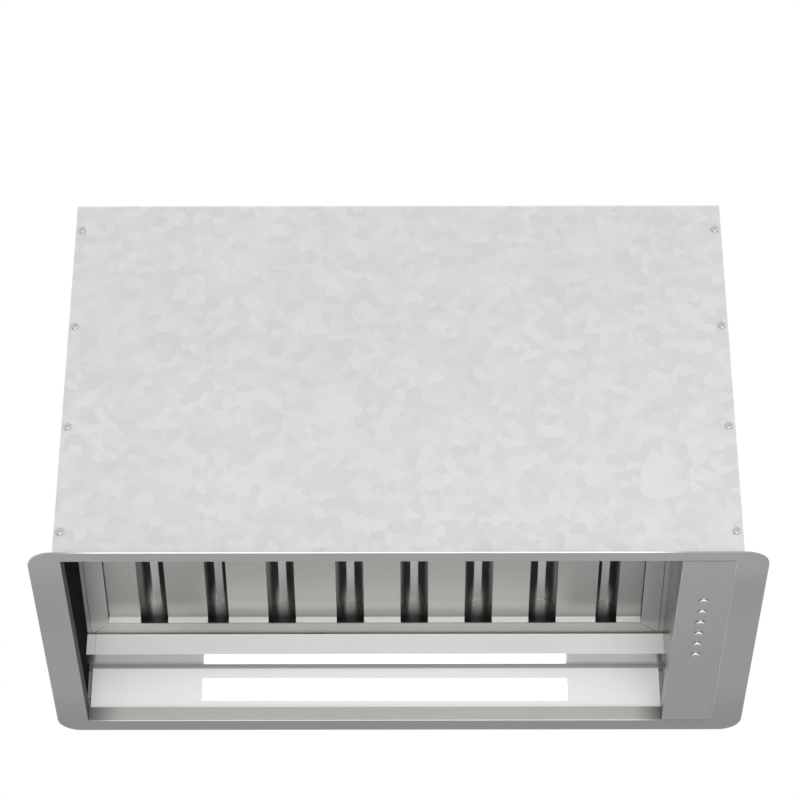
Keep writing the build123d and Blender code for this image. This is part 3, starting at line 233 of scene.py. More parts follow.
def make_facing():
    """Group: 1 where the surface faces along a direction, 0 where it turns away from it."""
    group, given, result = new_group(
        "facing",
        (
            ("Direction", "NodeSocketVector", (0.0, 0.0, 1.0)),
            ("From", "NodeSocketFloat", 0.3),
            ("To", "NodeSocketFloat", 0.7),
        ),
        (("Mask", "NodeSocketFloat"),),
    )
    place = group.nodes.new("ShaderNodeTexCoord")
    along = group.nodes.new("ShaderNodeVectorMath")
    along.operation = "DOT_PRODUCT"
    group.links.new(place.outputs["Normal"], along.inputs[0])
    group.links.new(given.outputs["Direction"], along.inputs[1])
    ramp = group.nodes.new("ShaderNodeMapRange")
    ramp.interpolation_type = "SMOOTHSTEP"
    group.links.new(along.outputs["Value"], ramp.inputs["Value"])
    group.links.new(given.outputs["From"], ramp.inputs["From Min"])
    group.links.new(given.outputs["To"], ramp.inputs["From Max"])
    group.links.new(ramp.outputs["Result"], result.inputs["Mask"])
    return group


def make_edge_highlight():
    """Group: the mask of a painted highlight, 1 along the cut and folded edges of a sheet, broken
    up by fine noise.
    """
    group, given, result = new_group(
        "painted edge highlight",
        (("Width", "NodeSocketFloat", 0.001),),
        (("Mask", "NodeSocketFloat"),),
    )
    place = group.nodes.new("ShaderNodeTexCoord")
    rounded = group.nodes.new("ShaderNodeBevel")
    rounded.samples = 4
    group.links.new(given.outputs["Width"], rounded.inputs["Radius"])
    flat = group.nodes.new("ShaderNodeNewGeometry")
    turn = group.nodes.new("ShaderNodeVectorMath")
    turn.operation = "DOT_PRODUCT"
    group.links.new(rounded.outputs["Normal"], turn.inputs[0])
    group.links.new(flat.outputs["Normal"], turn.inputs[1])
    bend = add_math(group, "SUBTRACT", 1.0, turn.outputs["Value"])
    speck = add_noise(group, place.outputs["Object"], 260.0, 3.0)
    bend = add_math(group, "MULTIPLY_ADD", speck, 0.12, bend)
    ramp = group.nodes.new("ShaderNodeMapRange")
    ramp.inputs["From Min"].default_value = 0.03
    ramp.inputs["From Max"].default_value = 0.22
    group.links.new(bend, ramp.inputs["Value"])
    group.links.new(ramp.outputs["Result"], result.inputs["Mask"])
    return group


brushing = make_brushing()
facing = make_facing()
edge_highlight = make_edge_highlight()


def add_group(tree, group, **values):
    """A group node in a material, with its values set by their socket names."""
    node = tree.nodes.new("ShaderNodeGroup")
    node.node_tree = group
    for socket, value in values.items():
        node.inputs[socket.title()].default_value = value
    return node


def add_facing(tree, direction, start=0.3, end=0.7):
    """The facing mask: a ramp between two cosines of the angle to the direction."""
    ends = {"from": start, "to": end}
    return add_group(tree, facing, direction=direction, **ends).outputs["Mask"]


def add_edge_highlight(tree, width):
    """The mask of a painted highlight along edges, for a bend or edge of about that width in
    metres.
    """
    return add_group(tree, edge_highlight, width=width).outputs["Mask"]


def mix_value(tree, mask, low, high):
    """low where the mask is 0 and high where it is 1. Each may be a socket or a number."""
    node = tree.nodes.new("ShaderNodeMix")
    node.data_type = "FLOAT"
    tree.links.new(mask, node.inputs["Factor"])
    for place, term in ((2, low), (3, high)):
        if isinstance(term, (int, float)):
            node.inputs[place].default_value = term
        else:
            tree.links.new(term, node.inputs[place])
    return node.outputs[0]


def lay_finish(material, shader, group, height, **values):
    """Feeds the shader from a finish group. height is the depth of its relief in metres."""
    tree = material.node_tree
    finish = add_group(tree, group, **values)
    bump = tree.nodes.new("ShaderNodeBump")
    bump.inputs["Distance"].default_value = height
    tree.links.new(finish.outputs["Height"], bump.inputs["Height"])
    tree.links.new(finish.outputs["Colour"], shader.inputs["Base Color"])
    if "Roughness" in finish.outputs:
        tree.links.new(finish.outputs["Roughness"], shader.inputs["Roughness"])
    tree.links.new(bump.outputs["Normal"], shader.inputs["Normal"])


def brushed_metal(name, colour, stretch, lines, clouds, roughness, spread, height, metallic=1.0):
    """Sheet with the brushing group. height is the depth of its lines in metres."""
    material, shader = start_material(name, colour, metallic, roughness)
    lay_finish(
        material, shader, brushing, height, colour=(*colour, 1.0), stretch=stretch, lines=lines,
        clouds=clouds, roughness=roughness, spread=spread,
    )
    return material, shader


def shade_by(material, shader, mask, factor):
    """Multiplies the base colour by the factor where the mask is 1."""
    tree = material.node_tree
    colour = shader.inputs["Base Color"].links[0].from_socket
    amount = mix_value(tree, mask, 1.0, factor)
    tree.links.new(add_scale(tree, colour, amount), shader.inputs["Base Color"])


def set_where(material, shader, name, mask, value):
    """Sets Roughness or Metallic where the mask is 1, and keeps it elsewhere."""
    tree = material.node_tree
    socket = shader.inputs[name]
    before = socket.links[0].from_socket if socket.is_linked else socket.default_value
    tree.links.new(mix_value(tree, mask, before, value), socket)


def add_fade(tree, axis, start, end):
    """0 at the start and 1 at the end of a stretch along X, Y or Z, in metres."""
    place = tree.nodes.new("ShaderNodeTexCoord")
    parts = tree.nodes.new("ShaderNodeSeparateXYZ")
    tree.links.new(place.outputs["Object"], parts.inputs["Vector"])
    ramp = tree.nodes.new("ShaderNodeMapRange")
    ramp.interpolation_type = "SMOOTHSTEP"
    tree.links.new(parts.outputs[axis], ramp.inputs["Value"])
    ramp.inputs["From Min"].default_value = start
    ramp.inputs["From Max"].default_value = end
    return ramp.outputs["Result"]


# directions, as seen by someone in front of the insert
rightwards = (1.0, 0.0, 0.0)
leftwards = (-1.0, 0.0, 0.0)
frontwards = (0.0, -1.0, 0.0)
downwards = (0.0, 0.0, -1.0)
upwards = (0.0, 0.0, 1.0)


def dress(material, *names):
    """Gives CAD nodes their material."""
    for name in names:
        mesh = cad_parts[name].data
        mesh.materials.clear()
        mesh.materials.append(material)


flange_steel, shader = brushed_metal(
    "satin steel of the flange", (0.325, 0.327, 0.315), (18.0, 1400.0, 1400.0),
    0.05, 0.16, 0.34, 0.05, 0.000003,
)
tree = flange_steel.node_tree
# painted highlight along the edges and bends of the sheet
shade_by(flange_steel, shader, add_edge_highlight(tree, 0.0008), 1.35)
# painted light and shade: the sheet is painted a little paler along its front edge, and darker
# along the rear
shade_by(flange_steel, shader, add_fade(tree, "Y", -0.085, -0.13), 1.12)
shade_by(flange_steel, shader, add_fade(tree, "Y", 0.06, 0.13), 0.84)
# painted shade: the left lip is in the shade of the black wall; painted light: the right bend is
# painted paler than the sheet
left_lip = add_facing(tree, rightwards, 0.35, 0.9)
shade_by(flange_steel, shader, left_lip, 0.16)
right_bend = add_facing(tree, leftwards, 0.10, 0.5)
shade_by(flange_steel, shader, right_bend, 1.7)
# painted light: the rear lip is painted paler, as it stands in the lamp's light; painted shade
# darkens only its two ends
rear_lip = add_facing(tree, frontwards)
dull = add_math(tree, "MAXIMUM", add_math(tree, "MAXIMUM", rear_lip, right_bend), left_lip)
set_where(flange_steel, shader, "Metallic", dull, 0.25)
set_where(flange_steel, shader, "Roughness", left_lip, 0.8)
shade_by(flange_steel, shader, rear_lip, 2.2)
for dark_from, dark_at in ((-0.225, -0.262), (0.190, 0.222)):
    lip_end = add_math(tree, "MULTIPLY", rear_lip, add_fade(tree, "X", dark_from, dark_at))
    shade_by(flange_steel, shader, lip_end, 0.30)
dress(flange_steel, "flange_frame")

# ------------------------------------------------------------------ control plate
# A steel plate of the same finish that drops into the flange's opening at the right. Six small
# push buttons with domed caps stand a little below it.
plate_steel, shader = brushed_metal(
    "satin steel of the control plate", (0.315, 0.317, 0.305), (1400.0, 18.0, 1400.0),
    0.05, 0.14, 0.34, 0.05, 0.000003,
)
tree = plate_steel.node_tree
# painted light makes it paler towards the front, and painted shade darkens the gap along the rear
# edge
shade_by(plate_steel, shader, add_fade(tree, "Y", 0.03, -0.12), 1.12)
shade_by(plate_steel, shader, add_fade(tree, "Y", 0.1224, 0.1232), 0.55)
dress(plate_steel, "control_plate")

cap_metal, shader = brushed_metal(
    "polished button caps", (0.35, 0.35, 0.34), (900.0, 900.0, 900.0),
    0.05, 0.04, 0.40, 0.05, 0.000002,
)
# painted highlight on the rim towards the front
shade_by(cap_metal, shader, add_facing(cap_metal.node_tree, frontwards, 0.10, 0.4), 2.1)
button_names = ("power", "slower", "faster", "boost", "timer", "light")
dress(cap_metal, *[f"button_{name}" for name in button_names])

# ------------------------------------------------------------------ capture recess
# The left wall is a black sheet, which paints the shade on that side of the recess. The right wall
# is the bright side of the control box.
# painted shade: a black sheet where the left side of the recess lies in shade
black_shade_sheet, shader = brushed_metal(
    "black sheet for the shade of the recess wall", (0.004, 0.004, 0.003), (60.0, 60.0, 60.0),
    1.6, 1.6, 0.80, 0.2, 0.00002, 0.0,
)
shader.inputs["Specular IOR Level"].default_value = 0.03
dress(black_shade_sheet, "recess_liner")
wall_steel, shader = brushed_metal(
    "satin steel of the right wall", (0.37, 0.37, 0.36), (1200.0, 16.0, 1200.0),
    0.06, 0.08, 0.24, 0.06, 0.000003,
)
# painted reflection: paler beside the lamp, whose light it throws back
shade_by(wall_steel, shader, add_fade(wall_steel.node_tree, "Y", 0.106, 0.116), 2.6)
dress(wall_steel, "control_box")

# ------------------------------------------------------------------ lamp
# Pale coated sheet: a folded rail over an upright panel. The panel's long window holds an opal
# strip, which the lamp board lights from behind. The rail's bellied underside is polished.
panel_coat, shader = brushed_metal(
    "pale satin coat of the lamp panel", (0.96, 0.96, 0.955), (40.0, 40.0, 40.0),
    0.03, 0.03, 0.50, 0.06, 0.000003, 0.0,
)
dress(panel_coat, "lamp_panel")
rail_coat, shader = brushed_metal(
    "pale satin rail with a polished underside", (0.90, 0.90, 0.89), (16.0, 1200.0, 1200.0),
    0.03, 0.03, 0.46, 0.04, 0.000002, 0.0,
)
tree = rail_coat.node_tree
underside = add_facing(tree, downwards)
set_where(rail_coat, shader, "Roughness", underside, 0.15)
set_where(rail_coat, shader, "Metallic", underside, 0.92)
# painted shade darkens the polished underside
shade_by(rail_coat, shader, underside, 0.56)
# painted light makes it paler towards the right, and painted shade darkens the crease where the
# underside folds up to the panel
shade_by(rail_coat, shader, add_fade(tree, "X", 0.08, 0.20), 1.1)
fold_direction = (0.0, 0.37, -0.93)
shade_by(rail_coat, shader, add_facing(tree, fold_direction, 0.862, 0.94), 0.5)
dress(rail_coat, "lamp_rail", "rail_cap")

opal, shader = brushed_metal(
    "opal strip, lit", (0.95, 0.95, 0.94), (300.0, 300.0, 300.0), 0.02, 0.02, 0.45, 0.05,
    0.000004, 0.0,
)
shader.inputs["Emission Color"].default_value = (1.0, 0.995, 0.98, 1.0)
shader.inputs["Emission Strength"].default_value = 3.2
dress(opal, "led_diffuser")

# ------------------------------------------------------------------ baffle filter
# Pressed steel sheet: a mitred frame, raised strips between the slots and arched channels over
# them. The upward faces of frame and strips are darkened with painted shade.
# painted shade on the upward faces, which fades out over the rear border
upward_shade = 0.22
unshaded_from_y = 0.086
shaded_from_y = 0.080


def add_upward_shade(material, shader):
    """Paints shade on the upward faces, except over the rear border."""
    tree = material.node_tree
    shaded_faces = add_math(tree, "MULTIPLY", add_facing(tree, upwards),
                    add_fade(tree, "Y", unshaded_from_y, shaded_from_y))
    shade_by(material, shader, shaded_faces, upward_shade)


def pale_left_end(material, shader, factor=1.35):
    """Makes the sheet paler towards the black wall with painted light, against the wall's dark
    reflection.
    """
    shade_by(material, shader, add_fade(material.node_tree, "X", -0.15, -0.25), factor)


# the frame, with painted light on its rear border, and a polished rear wall with a painted
# reflection that painted shade darkens at its foot
frame_steel, shader = brushed_metal(
    "satin steel of the filter frame", (0.37, 0.372, 0.36), (1200.0, 18.0, 1200.0),
    0.05, 0.12, 0.42, 0.06, 0.000003, 0.70,
)
tree = frame_steel.node_tree
add_upward_shade(frame_steel, shader)
pale_left_end(frame_steel, shader)
shade_by(frame_steel, shader, add_fade(tree, "Y", 0.082, 0.092), 1.33)
rear_wall = add_math(
    tree, "MULTIPLY", add_facing(tree, frontwards), add_fade(tree, "Y", 0.09, 0.10)
)
set_where(frame_steel, shader, "Roughness", rear_wall, 0.30)
set_where(frame_steel, shader, "Metallic", rear_wall, 1.0)
shade_by(frame_steel, shader, rear_wall, 1.5)
rear_wall_foot = add_math(tree, "MULTIPLY", rear_wall, add_fade(tree, "Z", 0.104, 0.086))
shade_by(frame_steel, shader, rear_wall_foot, 0.13)
dress(frame_steel, "filter_frame", "side_guides")

# the raised strips, whose rear ends slope down to the border
filter_steel, shader = brushed_metal(
    "satin steel of the filter strips", (0.30, 0.302, 0.29), (1200.0, 18.0, 1200.0),
    0.05, 0.12, 0.37, 0.06, 0.000003, 0.9,
)
tree = filter_steel.node_tree
add_upward_shade(filter_steel, shader)
pale_left_end(filter_steel, shader)
# painted light makes the strips paler towards the rear, and painted shade darkens their faces
# turned frontwards and down
shade_by(filter_steel, shader, add_fade(tree, "Y", 0.062, 0.082), 1.55)
slope_direction = (0.0, -0.85, -0.53)
shade_by(filter_steel, shader, add_facing(tree, slope_direction, 0.72, 0.95), 0.74)
dress(filter_steel, "lower_baffles", "ring_lugs")

# the arches: plain above; inside, painted shade darkens them, painted light makes the flanks
# greyer, and a painted highlight runs along the crown
arch_steel, shader = brushed_metal(
    "steel of the arched baffles", (0.42, 0.42, 0.41), (1200.0, 18.0, 1200.0),
    0.06, 0.06, 0.20, 0.04, 0.000002, 0.72,
)
tree = arch_steel.node_tree
inside = add_facing(tree, downwards, 0.02, 0.10)
shade_by(arch_steel, shader, inside, 0.36)
flanks = add_math(tree, "MULTIPLY", inside, add_facing(tree, downwards, 0.88, 0.74))
shade_by(arch_steel, shader, flanks, 2.4)
set_where(arch_steel, shader, "Metallic", flanks, 0.15)
crown_direction = (0.0, -0.122, -0.9925)
crown = add_facing(tree, crown_direction, 0.975, 0.988)
shade_by(arch_steel, shader, crown, 6.6)
set_where(arch_steel, shader, "Roughness", crown, 0.50)
set_where(arch_steel, shader, "Metallic", crown, 0.04)
dress(arch_steel, "upper_baffles")

wire_steel, shader = brushed_metal(
    "polished wire", (0.62, 0.62, 0.61), (600.0, 600.0, 600.0),
    0.06, 0.05, 0.18, 0.06, 0.000002,
)
dress(wire_steel, "filter_pins", "pull_ring_left", "pull_ring_right", "motor_shaft",
      "motor_bearing", "damper_rod")

# ------------------------------------------------------------------ housing
# Zinc coated sheet with its faint crystals, held at the corners by blind rivets. Long beads are
# pressed into the sides, the back and the top pan, and spot welds join the flange to the walls.


def make_spangle():
    """Group: crystals of a zinc coat with fine grain, as colour, roughness and height."""
    group, given, result = new_group(
        "spangle",
        (
            ("Colour", "NodeSocketColor", (0.6, 0.6, 0.6, 1.0)),
            ("Crystals", "NodeSocketFloat", 0.10),
            ("Size", "NodeSocketFloat", 110.0),
            ("Roughness", "NodeSocketFloat", 0.42),
        ),
        (
            ("Colour", "NodeSocketColor"),
            ("Roughness", "NodeSocketFloat"),
            ("Height", "NodeSocketFloat"),
        ),
    )
    place = group.nodes.new("ShaderNodeTexCoord")
    wander = group.nodes.new("ShaderNodeTexNoise")
    wander.inputs["Scale"].default_value = 40.0
    group.links.new(place.outputs["Object"], wander.inputs["Vector"])
    shift = add_scale(group, wander.outputs["Color"], 0.012)
    moved = group.nodes.new("ShaderNodeVectorMath")
    moved.operation = "ADD"
    group.links.new(place.outputs["Object"], moved.inputs[0])
    group.links.new(shift, moved.inputs[1])
    crystals = group.nodes.new("ShaderNodeTexVoronoi")
    group.links.new(moved.outputs["Vector"], crystals.inputs["Vector"])
    group.links.new(given.outputs["Size"], crystals.inputs["Scale"])
    grey = group.nodes.new("ShaderNodeSeparateColor")
    group.links.new(crystals.outputs["Color"], grey.inputs["Color"])
    crystal = add_math(group, "SUBTRACT", grey.outputs["Red"], 0.5)
    grain = add_noise(group, place.outputs["Object"], 900.0, 3.0)
    clouds = add_noise(group, place.outputs["Object"], 6.0, 2.0)
    shade = add_math(group, "MULTIPLY_ADD", crystal, given.outputs["Crystals"], 1.0)
    shade = add_math(group, "MULTIPLY_ADD", clouds, 0.10, shade)
    shade = add_math(group, "MULTIPLY_ADD", grain, 0.05, shade)
    group.links.new(add_scale(group, given.outputs["Colour"], shade), result.inputs["Colour"])
    rough = add_math(group, "MULTIPLY_ADD", crystal, 0.08, given.outputs["Roughness"])
    group.links.new(rough, result.inputs["Roughness"])
    group.links.new(grain, result.inputs["Height"])
    return group


spangle = make_spangle()


def zinc_coat(name, colour, crystals, size, roughness, metallic):
    """Zinc coated sheet with a painted highlight along its cut edges and folds."""
    material, shader = start_material(name, colour, metallic, roughness)
    lay_finish(
        material, shader, spangle, 0.000006, colour=(*colour, 1.0), crystals=crystals, size=size,
        roughness=roughness,
    )
    shade_by(material, shader, add_edge_highlight(material.node_tree, 0.0009), 1.3)
    return material


housing_zinc = zinc_coat("zinc coated housing", (0.56, 0.565, 0.56), 0.10, 110.0, 0.44, 0.40)
dress(housing_zinc, "housing_front", "housing_back", "housing_left", "housing_right",
      "housing_top", "filter_stop")


def pick(piece, test):
    """Opens the piece for shaping, with only the faces selected for which the test holds."""
    bpy.ops.object.mode_set(mode="EDIT")
    bpy.ops.mesh.select_mode(type="FACE")
    bpy.ops.mesh.select_all(action="DESELECT")
    bpy.ops.object.mode_set(mode="OBJECT")
    for face in piece.data.polygons:
        face.select = test(face)
    bpy.ops.object.mode_set(mode="EDIT")


def is_top(face):
    """True for a face that looks straight up."""
    return face.normal.z > 0.99


def repeat_piece(piece, places):
    """Copies the shaped piece to each place, a matrix, and joins the copies into one piece."""
    bpy.ops.object.mode_set(mode="OBJECT")
    copies = []
    for place in places:
        copy = piece.copy()
        copy.data = piece.data.copy()
        copy.matrix_world = place
        bpy.context.scene.collection.objects.link(copy)
        copies.append(copy)
    bpy.data.objects.remove(piece)
    bpy.ops.object.select_all(action="DESELECT")
    for copy in copies:
        copy.select_set(True)
    bpy.context.view_layer.objects.active = copies[0]
    bpy.ops.object.join()
    return bpy.context.object


def finish_piece(piece, name, material, slot, body, *replaced):
    """Applies the place of a modelled piece and gives it its name, finish and body."""
    if bpy.context.mode != "OBJECT":
        bpy.ops.object.mode_set(mode="OBJECT")
    bpy.ops.object.select_all(action="DESELECT")
    piece.select_set(True)
    bpy.context.view_layer.objects.active = piece
    for modifier in list(piece.modifiers):
        bpy.ops.object.modifier_apply(modifier=modifier.name)
    bpy.ops.object.transform_apply(location=True, rotation=True, scale=True)
    bpy.ops.object.shade_smooth_by_angle(angle=radians(35.0))
    piece.name = name
    piece.data.materials.clear()
    piece.data.materials.append(material)
    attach(piece, body)
    if replaced:
        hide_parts(*replaced)


def aimed(x, y, z, direction):
    """The place of a piece modelled upright, moved to a point and aimed along a direction."""
    turn = Vector(direction).to_track_quat("Z", "Y").to_matrix().to_4x4()
    return Matrix.Translation((x, y, z)) @ turn


def make_bead(length, width, height):
    """A long pressed bead with round ends, modelled upright and along Y."""
    bpy.ops.object.select_all(action="DESELECT")
    bpy.ops.mesh.primitive_circle_add(vertices=24, radius=width / 2, fill_type="NGON")
    bead = bpy.context.object
    for side in (-1, 1):
        for point in bead.data.vertices:
            if side * point.co.y > 0.01 * width:
                point.co.y += side * (length - width) / 2
    pick(bead, lambda face: True)
    bpy.ops.mesh.extrude_region_move(TRANSFORM_OT_translate={"value": (0.0, 0.0, height)})
    narrow = 1.0 - 1.6 * height / width
    bpy.ops.transform.resize(value=(narrow, 1.0 - 1.6 * height / length, 1.0))
    pick(bead, is_top)
    bpy.ops.mesh.bevel(offset=0.5 * height, segments=3, affect="EDGES")
    bpy.ops.mesh.select_all(action="SELECT")
    bpy.ops.mesh.normals_make_consistent(inside=False)
    bpy.ops.object.mode_set(mode="OBJECT")
    return bead


fastener_zinc, shader = brushed_metal(
    "plated steel of the fasteners", (0.52, 0.52, 0.50), (500.0, 500.0, 500.0),
    0.12, 0.10, 0.30, 0.10, 0.000004,
)
housing_low, housing_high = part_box("housing_front")
back_low, back_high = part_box("housing_back")
side_low, side_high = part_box("housing_right")
top_low, top_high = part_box("housing_top")
wall_middle_z = (housing_low[2] + housing_high[2]) / 2

# the four columns of blind rivets, with the dimple that the pulled pin leaves
rivet_low, rivet_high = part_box("housing_rivets")
rivet_radius = 0.0032
rivet_height = 0.0014
rivet_rows = 4
rivet_rim = 0.0012
rivet_dimple = 0.0006
rivet_x = rivet_high[0] - rivet_radius
rivet_first_z = rivet_low[2] + rivet_radius
rivet_step = (rivet_high[2] - rivet_low[2] - 2 * rivet_radius) / (rivet_rows - 1)
bpy.ops.object.select_all(action="DESELECT")
bpy.ops.mesh.primitive_cylinder_add(
    vertices=24, radius=rivet_radius, depth=rivet_height, location=(0.0, 0.0, rivet_height / 2)
)
rivet = bpy.context.object
bpy.ops.object.transform_apply(location=True)
pick(rivet, is_top)
bpy.ops.mesh.bevel(offset=0.6 * rivet_height, segments=4, affect="EDGES")
pick(rivet, is_top)
bpy.ops.mesh.inset(thickness=rivet_rim)
bpy.ops.mesh.extrude_region_move(TRANSFORM_OT_translate={"value": (0.0, 0.0, -rivet_dimple)})
rivet_places = []
for face_y, outward in ((housing_low[1], -1.0), (back_high[1], 1.0)):
    for side in (-1.0, 1.0):
        for row in range(rivet_rows):
            z = rivet_first_z + row * rivet_step
            rivet_places.append(aimed(side * rivet_x, face_y, z, (0.0, outward, 0.0)))
rivets = repeat_piece(rivet, rivet_places)
finish_piece(rivets, "blind_rivets", fastener_zinc, "fastener", "housing", "housing_rivets")

# pressed beads that stiffen the large walls: three on the back, two on each side, three on top
bead_height = 0.0011
bead_width = 0.011
wall_bead_length = 0.62 * (housing_high[2] - housing_low[2])
back_bead_parts = (-0.33, 0.0, 0.33)  # of the back's width, from its middle
side_bead_inset = 0.055
side_bead_rise = 0.03
top_bead_length = 0.19
top_bead_x = (-0.128, 0.128, 0.225)  # clear of the collar and the terminal box
bead = make_bead(wall_bead_length, bead_width, bead_height)
bead_places = []
upright = Matrix.Rotation(radians(90.0), 4, "X")
for part in back_bead_parts:
    x = part * (back_high[0] - back_low[0])
    bead_places.append(
        Matrix.Translation((x, back_high[1], wall_middle_z)) @ Matrix.Rotation(pi, 4, "Z") @ upright
    )
for wall_x, outward in ((-housing_high[0], -1.0), (housing_high[0], 1.0)):
    for y in (side_low[1] + side_bead_inset, side_high[1] - side_bead_inset):
        bead_places.append(
            Matrix.Translation((wall_x, y, wall_middle_z + side_bead_rise))
            @ Matrix.Rotation(outward * pi / 2, 4, "Z") @ upright
        )
beads = repeat_piece(bead, bead_places)
finish_piece(beads, "wall_beads", housing_zinc, "galvanised", "housing")

top_bead = make_bead(top_bead_length, bead_width, bead_height)
top_beads = repeat_piece(
    top_bead, [Matrix.Translation((x, 0.0, top_high[2])) for x in top_bead_x]
)
finish_piece(top_beads, "top_beads", housing_zinc, "galvanised", "housing")

# rows of spot welds low on the walls, and along the top pan's edges
weld_radius = 0.0024
weld_height = 0.00025
weld_rim = 0.0006
weld_dimple = 0.0002
weld_pitch = 0.055
back_welds = 9
side_welds = 4
side_weld_inset = 0.05
top_weld_rise = 0.006  # over the rim of the top pan
back_weld_z = 0.009
side_weld_z = 0.008
bpy.ops.object.select_all(action="DESELECT")
bpy.ops.mesh.primitive_cylinder_add(
    vertices=16, radius=weld_radius, depth=weld_height, location=(0.0, 0.0, weld_height / 2)
)
weld = bpy.context.object
bpy.ops.object.transform_apply(location=True)
pick(weld, is_top)
bpy.ops.mesh.inset(thickness=weld_rim)
bpy.ops.transform.translate(value=(0.0, 0.0, -weld_dimple))
weld_places = []
top_weld_z = top_low[2] + top_weld_rise
for place in range(back_welds):
    x = (place - (back_welds - 1) // 2) * weld_pitch
    for z in (top_weld_z, back_weld_z):
        weld_places.append(aimed(x, back_high[1], z, (0.0, 1.0, 0.0)))
for place in range(side_welds):
    y = side_low[1] + side_weld_inset + place * weld_pitch
    for wall_x, outward in ((-housing_high[0], -1.0), (housing_high[0], 1.0)):
        for z in (top_weld_z, side_weld_z):
            weld_places.append(aimed(wall_x, y, z, (outward, 0.0, 0.0)))
welds = repeat_piece(weld, weld_places)
finish_piece(welds, "spot_welds", fastener_zinc, "galvanised", "housing")

# ------------------------------------------------------------------ cupboard fixing
# Two angle brackets of thicker zinc coated steel. Each is held to the side panel by two pan head
# screws with a cross recess, and its foot has the holes for the wood screws.
bracket_zinc = zinc_coat("zinc coated brackets", (0.50, 0.505, 0.50), 0.16, 160.0, 0.40, 0.7)
dress(bracket_zinc, "fixing_bracket_left", "fixing_bracket_right", "blower_hangers",
      "motor_bracket")


def make_screw_head(radius, height):
    """A pan head with a cross recess, modelled upright on the point where it seats."""
    bpy.ops.object.select_all(action="DESELECT")
    bpy.ops.mesh.primitive_cylinder_add(
        vertices=28, radius=radius, depth=height, location=(0.0, 0.0, height / 2)
    )
    head = bpy.context.object
    bpy.ops.object.transform_apply(location=True)
    pick(head, is_top)
    bpy.ops.mesh.bevel(offset=0.55 * height, segments=4, affect="EDGES")
    bpy.ops.object.mode_set(mode="OBJECT")
    for turn in (0.0, pi / 2):
        bpy.ops.mesh.primitive_cube_add(
            size=1.0, location=(0.0, 0.0, height), rotation=(0.0, 0.0, turn + pi / 4)
        )
        cutter = bpy.context.object
        cutter.scale = (1.1 * radius, 0.26 * radius, 1.2 * height)
        cut = head.modifiers.new("recess", "BOOLEAN")
        cut.operation = "DIFFERENCE"
        cut.object = cutter
        bpy.context.view_layer.objects.active = head
        bpy.ops.object.modifier_apply(modifier=cut.name)
        bpy.data.objects.remove(cutter)
    return head


screw_low, screw_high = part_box("bracket_screws")
screw_radius = (screw_high[2] - screw_low[2]) / 2
screw_height = 0.0018
bracket_face_x = screw_high[0] - screw_height
screw_z = (screw_low[2] + screw_high[2]) / 2
head = make_screw_head(screw_radius, screw_height)
bracket_heads = repeat_piece(head, [
    aimed(side * bracket_face_x, y, screw_z, (side, 0.0, 0.0))
    for side in (-1.0, 1.0)
    for y in (screw_low[1] + screw_radius, screw_high[1] - screw_radius)
])
finish_piece(bracket_heads, "bracket_screw_heads", fastener_zinc, "fastener", "housing",
             "bracket_screws")

# ------------------------------------------------------------------ outlet collar
# A flanged tube of zinc coated sheet with a rolled hem round its mouth, held to the top pan by
# four pan head screws. Two half-round flaps with pressed ribs turn on the rod across it.
collar_zinc = zinc_coat("zinc coated collar", (0.56, 0.565, 0.56), 0.12, 130.0, 0.38, 0.75)
dress(collar_zinc, "outlet_collar", "outlet_duct")
flap_zinc = zinc_coat("zinc coated flaps", (0.48, 0.485, 0.48), 0.14, 150.0, 0.40, 0.75)
dress(flap_zinc, "damper_flap_left", "damper_flap_right")

collar_low, collar_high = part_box("outlet_collar")
collar_x = (collar_low[0] + collar_high[0]) / 2
collar_y = (collar_low[1] + collar_high[1]) / 2
collar_radius = 0.0745
hem_radius = 0.0009
hem_stretch = 1.3  # the hem's height over its thickness
bpy.ops.object.select_all(action="DESELECT")
bpy.ops.mesh.primitive_torus_add(
    major_radius=collar_radius - hem_radius, minor_radius=hem_radius,
    major_segments=96, minor_segments=12,
    location=(collar_x, collar_y, collar_high[2] - hem_stretch * hem_radius),
)
hem = bpy.context.object
bpy.ops.object.mode_set(mode="EDIT")
bpy.ops.mesh.select_all(action="SELECT")
bpy.ops.transform.resize(value=(1.0, 1.0, hem_stretch))
finish_piece(hem, "collar_hem", collar_zinc, "galvanised", "housing")

# each cross recess has a turn of its own, as left by the screwdriver
collar_screw_low, collar_screw_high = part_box("collar_screws")
screw_ring = (collar_screw_high[0] - collar_screw_low[0]) / 2 - screw_radius
head = make_screw_head(screw_radius, screw_height)
collar_heads = repeat_piece(head, [
    Matrix.Translation((collar_x + dx * screw_ring, collar_y + dy * screw_ring,
                        collar_screw_low[2]))
    @ Matrix.Rotation(radians(20.0 * dx + 35.0 * dy), 4, "Z")
    for dx in (-1.0, 1.0) for dy in (-1.0, 1.0)
])
finish_piece(collar_heads, "collar_screw_heads", fastener_zinc, "fastener", "housing",
             "collar_screws")

# two pressed ribs on each flap, whose sheet lies in line with the rod's middle
rod_radius = 0.002
flap_thickness = 0.0008
flap_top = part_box("damper_rod")[0][2] + rod_radius + flap_thickness / 2
rib_length = 0.075
rib_width = 0.007
rib_height = 0.0009
rib_x = (0.022, 0.042)
for side, body in ((-1.0, "damper_left"), (1.0, "damper_right")):
    rib = make_bead(rib_length, rib_width, rib_height)
    ribs = repeat_piece(
        rib, [Matrix.Translation((side * x, collar_y, flap_top)) for x in rib_x]
    )
    finish_piece(ribs, f"{body}_ribs", flap_zinc, "galvanised", body)

# ------------------------------------------------------------------ terminal box
# A grey moulded box on the top pan. Its lid is held by two screws, and the gland for the mains
# lead has a ribbed cap nut that squeezes a rubber seal.


